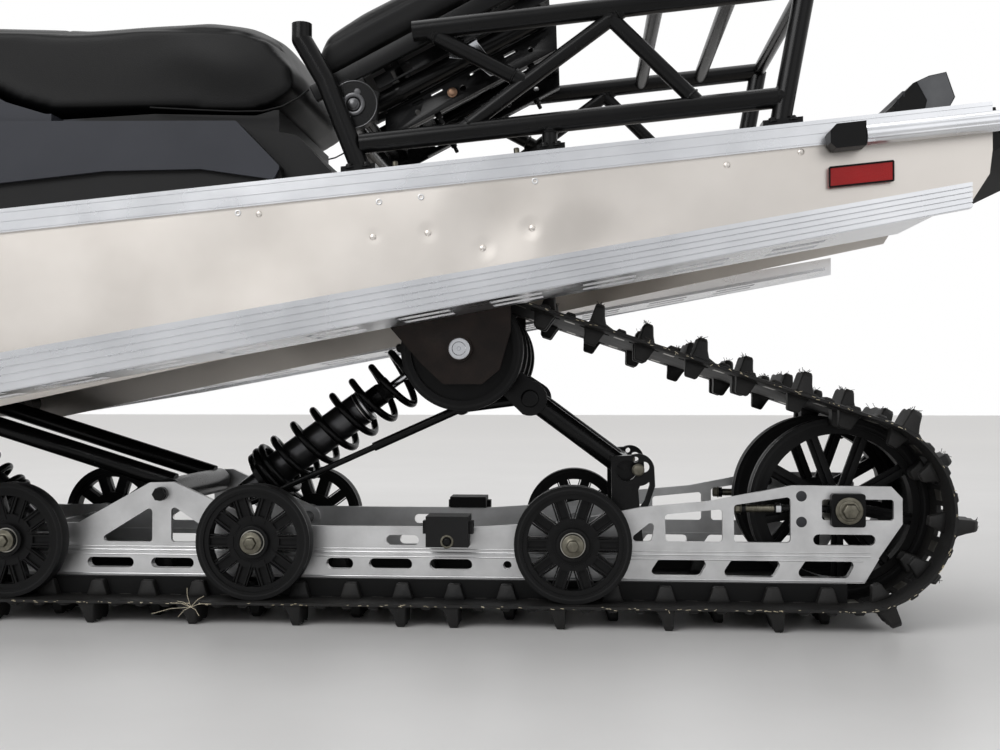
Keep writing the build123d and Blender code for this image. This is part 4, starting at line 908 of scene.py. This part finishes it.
# Fasteners on the skid: adjuster bolts, washers, plugs, arm and bracket bolts
olive, dark_bolts, plugs, nuts = Shape(), Shape(), Shape(), Shape()
PLUG = [(0, 1.2), (5.6, 1.2), (7.6, 0.4), (7.6, -2), (0, -2)]
THREAD = [(5.3 + 0.75 * (i % 2), 1.5 * i) for i in range(29)]
for sign in (-1, 1):
    washer = [(8, 0.2), (18.8, 0.2), (18.8, 0.9), (17.8, 1.4), (8, 1.4)]
    lathe(olive, across((REAR_X, sign * 159.0, REAR_Z), sign), washer, 48)
    hex_head(olive, across((REAR_X, sign * 160.0, REAR_Z), sign), 20, 10.5, 14.5, 1.8)
    for z in (180, 144):
        lathe(plugs, across((1228, sign * 143.2, z), sign), PLUG, 28)
    hex_head(olive, facing((1146, sign * 130.5, REAR_Z), (-1, 0, 0)), 13, 7.5, 9.0)
    lathe(olive, facing((1150, sign * 130.5, REAR_Z), (1, 0, 0)), THREAD, 24)
    hex_head(nuts, facing((1194, sign * 130.5, REAR_Z), (1, 0, 0)), 15, 8.5)
    hex_head(olive, across((1002, sign * 136.6, 215), sign), 15, 5.5, 9.0)
    hex_head(dark_bolts, across((314, sign * 151.6, 178), sign), 17, 6, 9.8)
    hex_head(dark_bolts, across((64, sign * 143.6, 106), sign), 15, 5, 10)
    at = across((734, sign * 173.6, 116), sign)
    ring(olive, at, 6.2, 9.4, -0.6, 1.6, 0.6, 2, 36)
    hex_head(dark_bolts, at, 9, 3.4, 6.1, 1.2)
    for y in (-104, 104):
        lathe(dark_bolts, across((848, y + 14 * sign, 316), sign), [(0, 4), (13, 4), (15, 2), (15, -3)], 32)
    hex_head(dark_bolts, across((739, sign * 219.2, 466), -sign), 10, 3)
make("hub_bolts", hub_bolts, "olive", "steel", 0.35, 30, 1)
make("skid_bolts", olive, "olive", "steel", 0.35, 30, 1)
make("skid_dark_bolts", dark_bolts, "black_paint", "black_paint", *BOLT)
make("adjuster_nuts", nuts, "chrome", "steel", *BOLT)
make("rail_plugs", plugs, "grey_plastic", "grey_plastic", *BOLT)

# Carrier plates' hardware: a stepped washer in the middle of each
carrier_bright = Shape()
CARRIER_WASHER = [(0, 0), (14.5, 0), (14.5, 1.6), (13.6, 2.4), (9.5, 2.4), (9.5, 5.5), (8.6, 6.5), (3, 6.5),
                  (2, 5.4), (0, 5.4)]
for sign in (-1, 1):
    lathe(carrier_bright, across((IDLER_X, sign * 227.1, IDLER_Z), sign), CARRIER_WASHER, 48)
make("carrier_washers", carrier_bright, "chrome", "steel")

# Extruded beads along the rails and the plates at the root of the rear arm
beads, roots = Shape(), Shape()
for sign in (-1, 1):
    for y, z, r, rear_end in ((143.4, 96.6, 1.3, 1322), (143.4, 101.4, 0.9, 1322),
                              (147.0, 62.5, 0.9, 1311), (147.0, 90.5, 0.9, 1311)):
        tube(beads, [(x, sign * y, z) for x in (42, 400, 800, rear_end)], r, 8)
    outline = arc_of(848, 316, 25, -115, 60, 12) + arc_of(786, 366, 17, 60, 245, 12)
    side_plate(roots, STILL, outline, sign * 118.4, sign * 123.4)
    boss = [(0, 3), (11, 3), (13, 1.4), (13, -1), (0, -1)]
    lathe(roots, across((848, sign * 123.4, 316), sign), boss, 36)
make("rail_beads", beads, "rail", "bright_aluminium")
make("arm_root_plates", roots, "black_paint", "black_paint", 2.0, 38, 3)

# Domed and ring-shaped rivets in the tunnel's side sheets
rivets, rings = Shape(), Shape()
DOME = [(4.6, -0.2), (4.3, 0.7), (3.2, 1.5), (1.6, 1.9), (0, 2.0)]
DOMES = ((259, 214), (373, 237), (428, 233), (532, 228), (483, 248), (727, 165), (801, 152))
FLAT_RINGS = ((379, 202), (421, 197), (238, 213), (535, 181))


def on_sheet(px, py, sign):
    p = from_photo(px, py, -SHEET_Y)
    return across((p.x, sign * SHEET_Y, p.z), sign)


for sign in (1, -1):
    for px, py in DOMES:
        lathe(rivets, on_sheet(px, py, sign), DOME, 24)
    for px, py in FLAT_RINGS:
        ring(rings, on_sheet(px, py, sign), 2.2, 4.4, -0.3, 0.9, 0.4, 2, 24)
make("tunnel_rivets", rivets, "sheet", "bright_aluminium")
make("tunnel_ring_rivets", rings, "rail", "bright_aluminium")

# Tunnel top: bolts on the rack's feet, and bolts and nuts between them
foot_bolts, top_bolts = Shape(), Shape()
OFF_TOP = (-TUNNEL_SLOPE, 0, 1)
for sign in (-1, 1):
    for x in (604, 628, 872, 890, 1178, 1205):
        hex_head(foot_bolts, facing((x, sign * 216, top_z(x) + 9.2), OFF_TOP), 9, 4.5, 7)
    for x in (664, 834):
        at = facing((x, sign * 190, top_z(x)), OFF_TOP)
        hex_head(top_bolts, at, 13, 7, 11, 2)
        lathe(top_bolts, at, [(0, 9), (4, 9), (4, 17), (3.2, 18), (0, 18)], 18)
make("rack_foot_bolts", foot_bolts, "black_paint", "black_paint", *BOLT)
make("tunnel_top_bolts", top_bolts, "olive", "steel", *BOLT)

# Weld beads where the rack's tubes meet
welds = Shape()
RACK_TUBE_R = 10.4
# Height of the rack's upper tubes above its lower ones
RACK_RISE = 148


def weld(at, axis, r):
    line = []
    placed = facing(at, axis)
    for i in range(49):
        a = 2 * math.pi * i / 48
        wobbly = r + 0.35 * math.sin(a * 19)
        line.append(placed @ Vector((wobbly * math.cos(a), wobbly * math.sin(a), 0)))
    tube(welds, line, 1.9, 6)


def rack_low(x):
    return top_z(x) + 44


for sign in (-1, 1):
    y = sign * 205
    # A stay's ends in x, its foot's rise and the distances of its welds from both ends
    for x0, x1, rise, low, high in ((752, 985, 0, 20, 18), (1085, 950, 0, 20, 18), (845, 705, 60, 17, 20)):
        a, b = Vector((x0, y, rack_low(x0) + rise)), Vector((x1, y, rack_low(x1) + RACK_RISE))
        way = (b - a).normalized()
        weld(a + way * low, way, RACK_TUBE_R)
        weld(b - way * high, way, RACK_TUBE_R)
    weld((879, y, rack_low(879) - 13), (0, 0, 1), RACK_TUBE_R)
    weld((1187, y, rack_low(1187)), (1, 0, 0.09), 13.8)
make("rack_welds", welds, "black_paint", "black_paint")

# Tail lamp: two ridges across its front and a lens at each end; reflector borders; faceted bar sleeves
lamp_body, lamp_ends, borders, facets = Shape(), Shape(), Shape(), Shape()
REAR_FACE = ((1396, 764.5), (1413, 772), (1436, 777), (1447.6, 742), (1437, 722), (1424, 702), (1404, 712),
             (1410, 738))
REFLECTOR = [(x, top_z(x) - down) for x, down in ((1250, 88), (1333, 88), (1333, 62), (1250, 62))]
HEXAGON = arc_of(0, 0, 13.9, 0, 300, 5)
for x, z in ((1370, 735), (1378, 745.5)):
    slab(lamp_body, STILL, x - 2, x + 2.6, -118, 118, z - 3, z + 6.5)
for sign in (-1, 1):
    side_plate(lamp_ends, STILL, REAR_FACE, sign * 117.5, sign * 119.2)
    for (xa, za), (xb, zb) in zip(REFLECTOR, REFLECTOR[1:] + REFLECTOR[:1]):
        tube(borders, [(xa, sign * 229.2, za), (xb, sign * 229.2, zb)], 1.3, 6)
    a, b = Vector((1294, sign * 240, top_z(1294) - 26)), Vector((1498, sign * 240, top_z(1500) - 26))
    way = (b - a).normalized()
    turn = Matrix((
        (way.x, 0, -way.z, a.x), (0, 1, 0, a.y), (way.z, 0, way.x, a.z), (0, 0, 0, 1)))
    prism(facets, turn @ Matrix.Rotation(math.radians(90), 4, "Y"), HEXAGON, 0, (b - a).length)
make("lamp_ridges", lamp_body, "grey_plastic", "black_plastic", 1.0)
make("lamp_end_lenses", lamp_ends, "lamp_grey", "grey_plastic", 0.8)
make("reflector_borders", borders, "black_plastic", "black_plastic")
make("bar_sleeves", facets, "bright", "bright_aluminium", 1.6, 24, 3)

# Round gauges on the dash, with a raised bezel and a plain face each
bezels, dials = Shape(), Shape()
DASH_UP = (0.223, 0, 0.975)
for y in (-62, 62):
    at = facing((-364, y, 875.6), DASH_UP)
    ring(bezels, at, 30, 37, -1.0, 8.0, 2.0, 4, 48)
    lathe(dials, at, [(31, -0.5), (31, 4.6), (28, 5.4), (0, 5.8)], 48)
    for u, v in arc_of(0, 0, 24.5, -120, 120, 8):
        lathe(bezels, facing(at @ Vector((u, v, 5.6)), DASH_UP), [(1.1, 0), (1.1, 0.7), (0, 0.7)], 8)
make("gauge_bezels", bezels, "black_plastic", "black_plastic")
make("gauge_faces", dials, "lens", "lamp_lens")

# Nuts and washers on the ski bolts
SKI_BOLT_X, SKI_BOLT_Z = -906.0, 92.0
for name, sign in (("left", -1), ("right", 1)):
    ski_nuts = Shape()
    for end in (-1, 1):
        hex_head(ski_nuts, across((SKI_BOLT_X, sign * 485 + end * 44, SKI_BOLT_Z), end), 15, 7, 11, 2)
    make(f"{name}_ski_nuts", ski_nuts, "steel", "steel", *BOLT, body=f"{name}_steered_ski")

# Hand grips with ridges, worn over the moulded tubes
grips = Shape()
# The steering post's foot, its lean and the clamp's height above the foot
POST_X, POST_LEAN, CLAMP_RISE = -408, math.radians(24), 214
CLAMP_X = POST_X + CLAMP_RISE * math.tan(POST_LEAN)
GRIP = [(16.6, 0), (18.6, 0), (18.6, 4)]
for h in range(8, 105, 8):
    GRIP += [(17.2, h), (18.2, h + 2), (18.2, h + 4), (17.2, h + 6)]
GRIP += [(18.8, 114), (18.8, 122), (15, 123.9), (0, 123.9)]
for sign in (-1, 1):
    tip = Vector((CLAMP_X + 76, sign * 352, 1126))
    way = (tip - Vector((CLAMP_X + 22, sign * 190, 1130))).normalized()
    lathe(grips, facing(tip - way * 118, way), GRIP, 28)
make("grip_sleeves", grips, "rubber", "black_rubber", body="steering")

# Floor, backdrop and light
FLOOR_HALF = 15
floor_mat, tree, shader = new_material("pale_floor_painted_light")
tone = two_tones(tree, noise(tree, place(tree), 1.3, 5.0), (0.57, 0.565, 0.56), (0.66, 0.655, 0.65))
# Painted light: the floor grows paler with distance from the camera, darker in the foreground and lighter
# towards the horizon
distance = mapped(tree, split(tree, object_point(tree))["Y"], (-0.4, 6.0))
finish(shader, base_color=mixed(tree, distance, tone, (0.90, 0.88, 0.86, 1)), roughness=0.42)
floor = new_object("floor", [(x * FLOOR_HALF, y * FLOOR_HALF, 0) for x, y in
                             ((-1, -1), (1, -1), (1, 1), (-1, 1))], [(0, 1, 2, 3)])
floor.data.materials.append(floor_mat)

world = bpy.data.worlds.new("world")
bpy.context.scene.world = world
world.use_nodes = True
tree = world.node_tree
tree.nodes.clear()
depth = split(tree, tree.nodes.new("ShaderNodeTexCoord").outputs["Generated"])["Y"]
backdrop = ramp(tree, mapped(tree, depth, (-1.0, 1.0)), ((0.0, (0.60, 0.605, 0.62)), (0.62, (1, 1, 1))))
soft_light = node(tree, "ShaderNodeBackground", {"Color": (1, 1, 1, 1), "Strength": 0.55})
seen = node(tree, "ShaderNodeBackground", {"Color": backdrop, "Strength": 1.0})
rays = tree.nodes.new("ShaderNodeLightPath").outputs
seen_by = rays["Is Camera Ray"]
for kind in ("Is Glossy Ray", "Is Transmission Ray"):
    seen_by = figured(tree, "MAXIMUM", seen_by, rays[kind])
mix = node(tree, "ShaderNodeMixShader", {0: seen_by, 1: soft_light.outputs[0], 2: seen.outputs[0]})
node(tree, "ShaderNodeOutputWorld", {0: mix.outputs[0]})


def lamp(name, at, target, size, power):
    data = bpy.data.lights.new(name, "AREA")
    data.shape = "RECTANGLE"
    data.size, data.size_y = size
    data.energy = power
    obj = bpy.data.objects.new(name, data)
    bpy.context.scene.collection.objects.link(obj)
    obj.location = at
    obj.rotation_euler = (Vector(target) - Vector(at)).to_track_quat("-Z", "Y").to_euler()


lamp("key", (-1.5, -3.4, 3.1), (0.3, 0, 0.4), (3.0, 2.0), 112)
lamp("fill", (2.8, -3.0, 1.6), (0.9, 0, 0.4), (2.4, 2.0), 10)
lamp("top", (0.4, 0.3, 4.2), (0.4, 0, 0.4), (4.0, 3.0), 60)
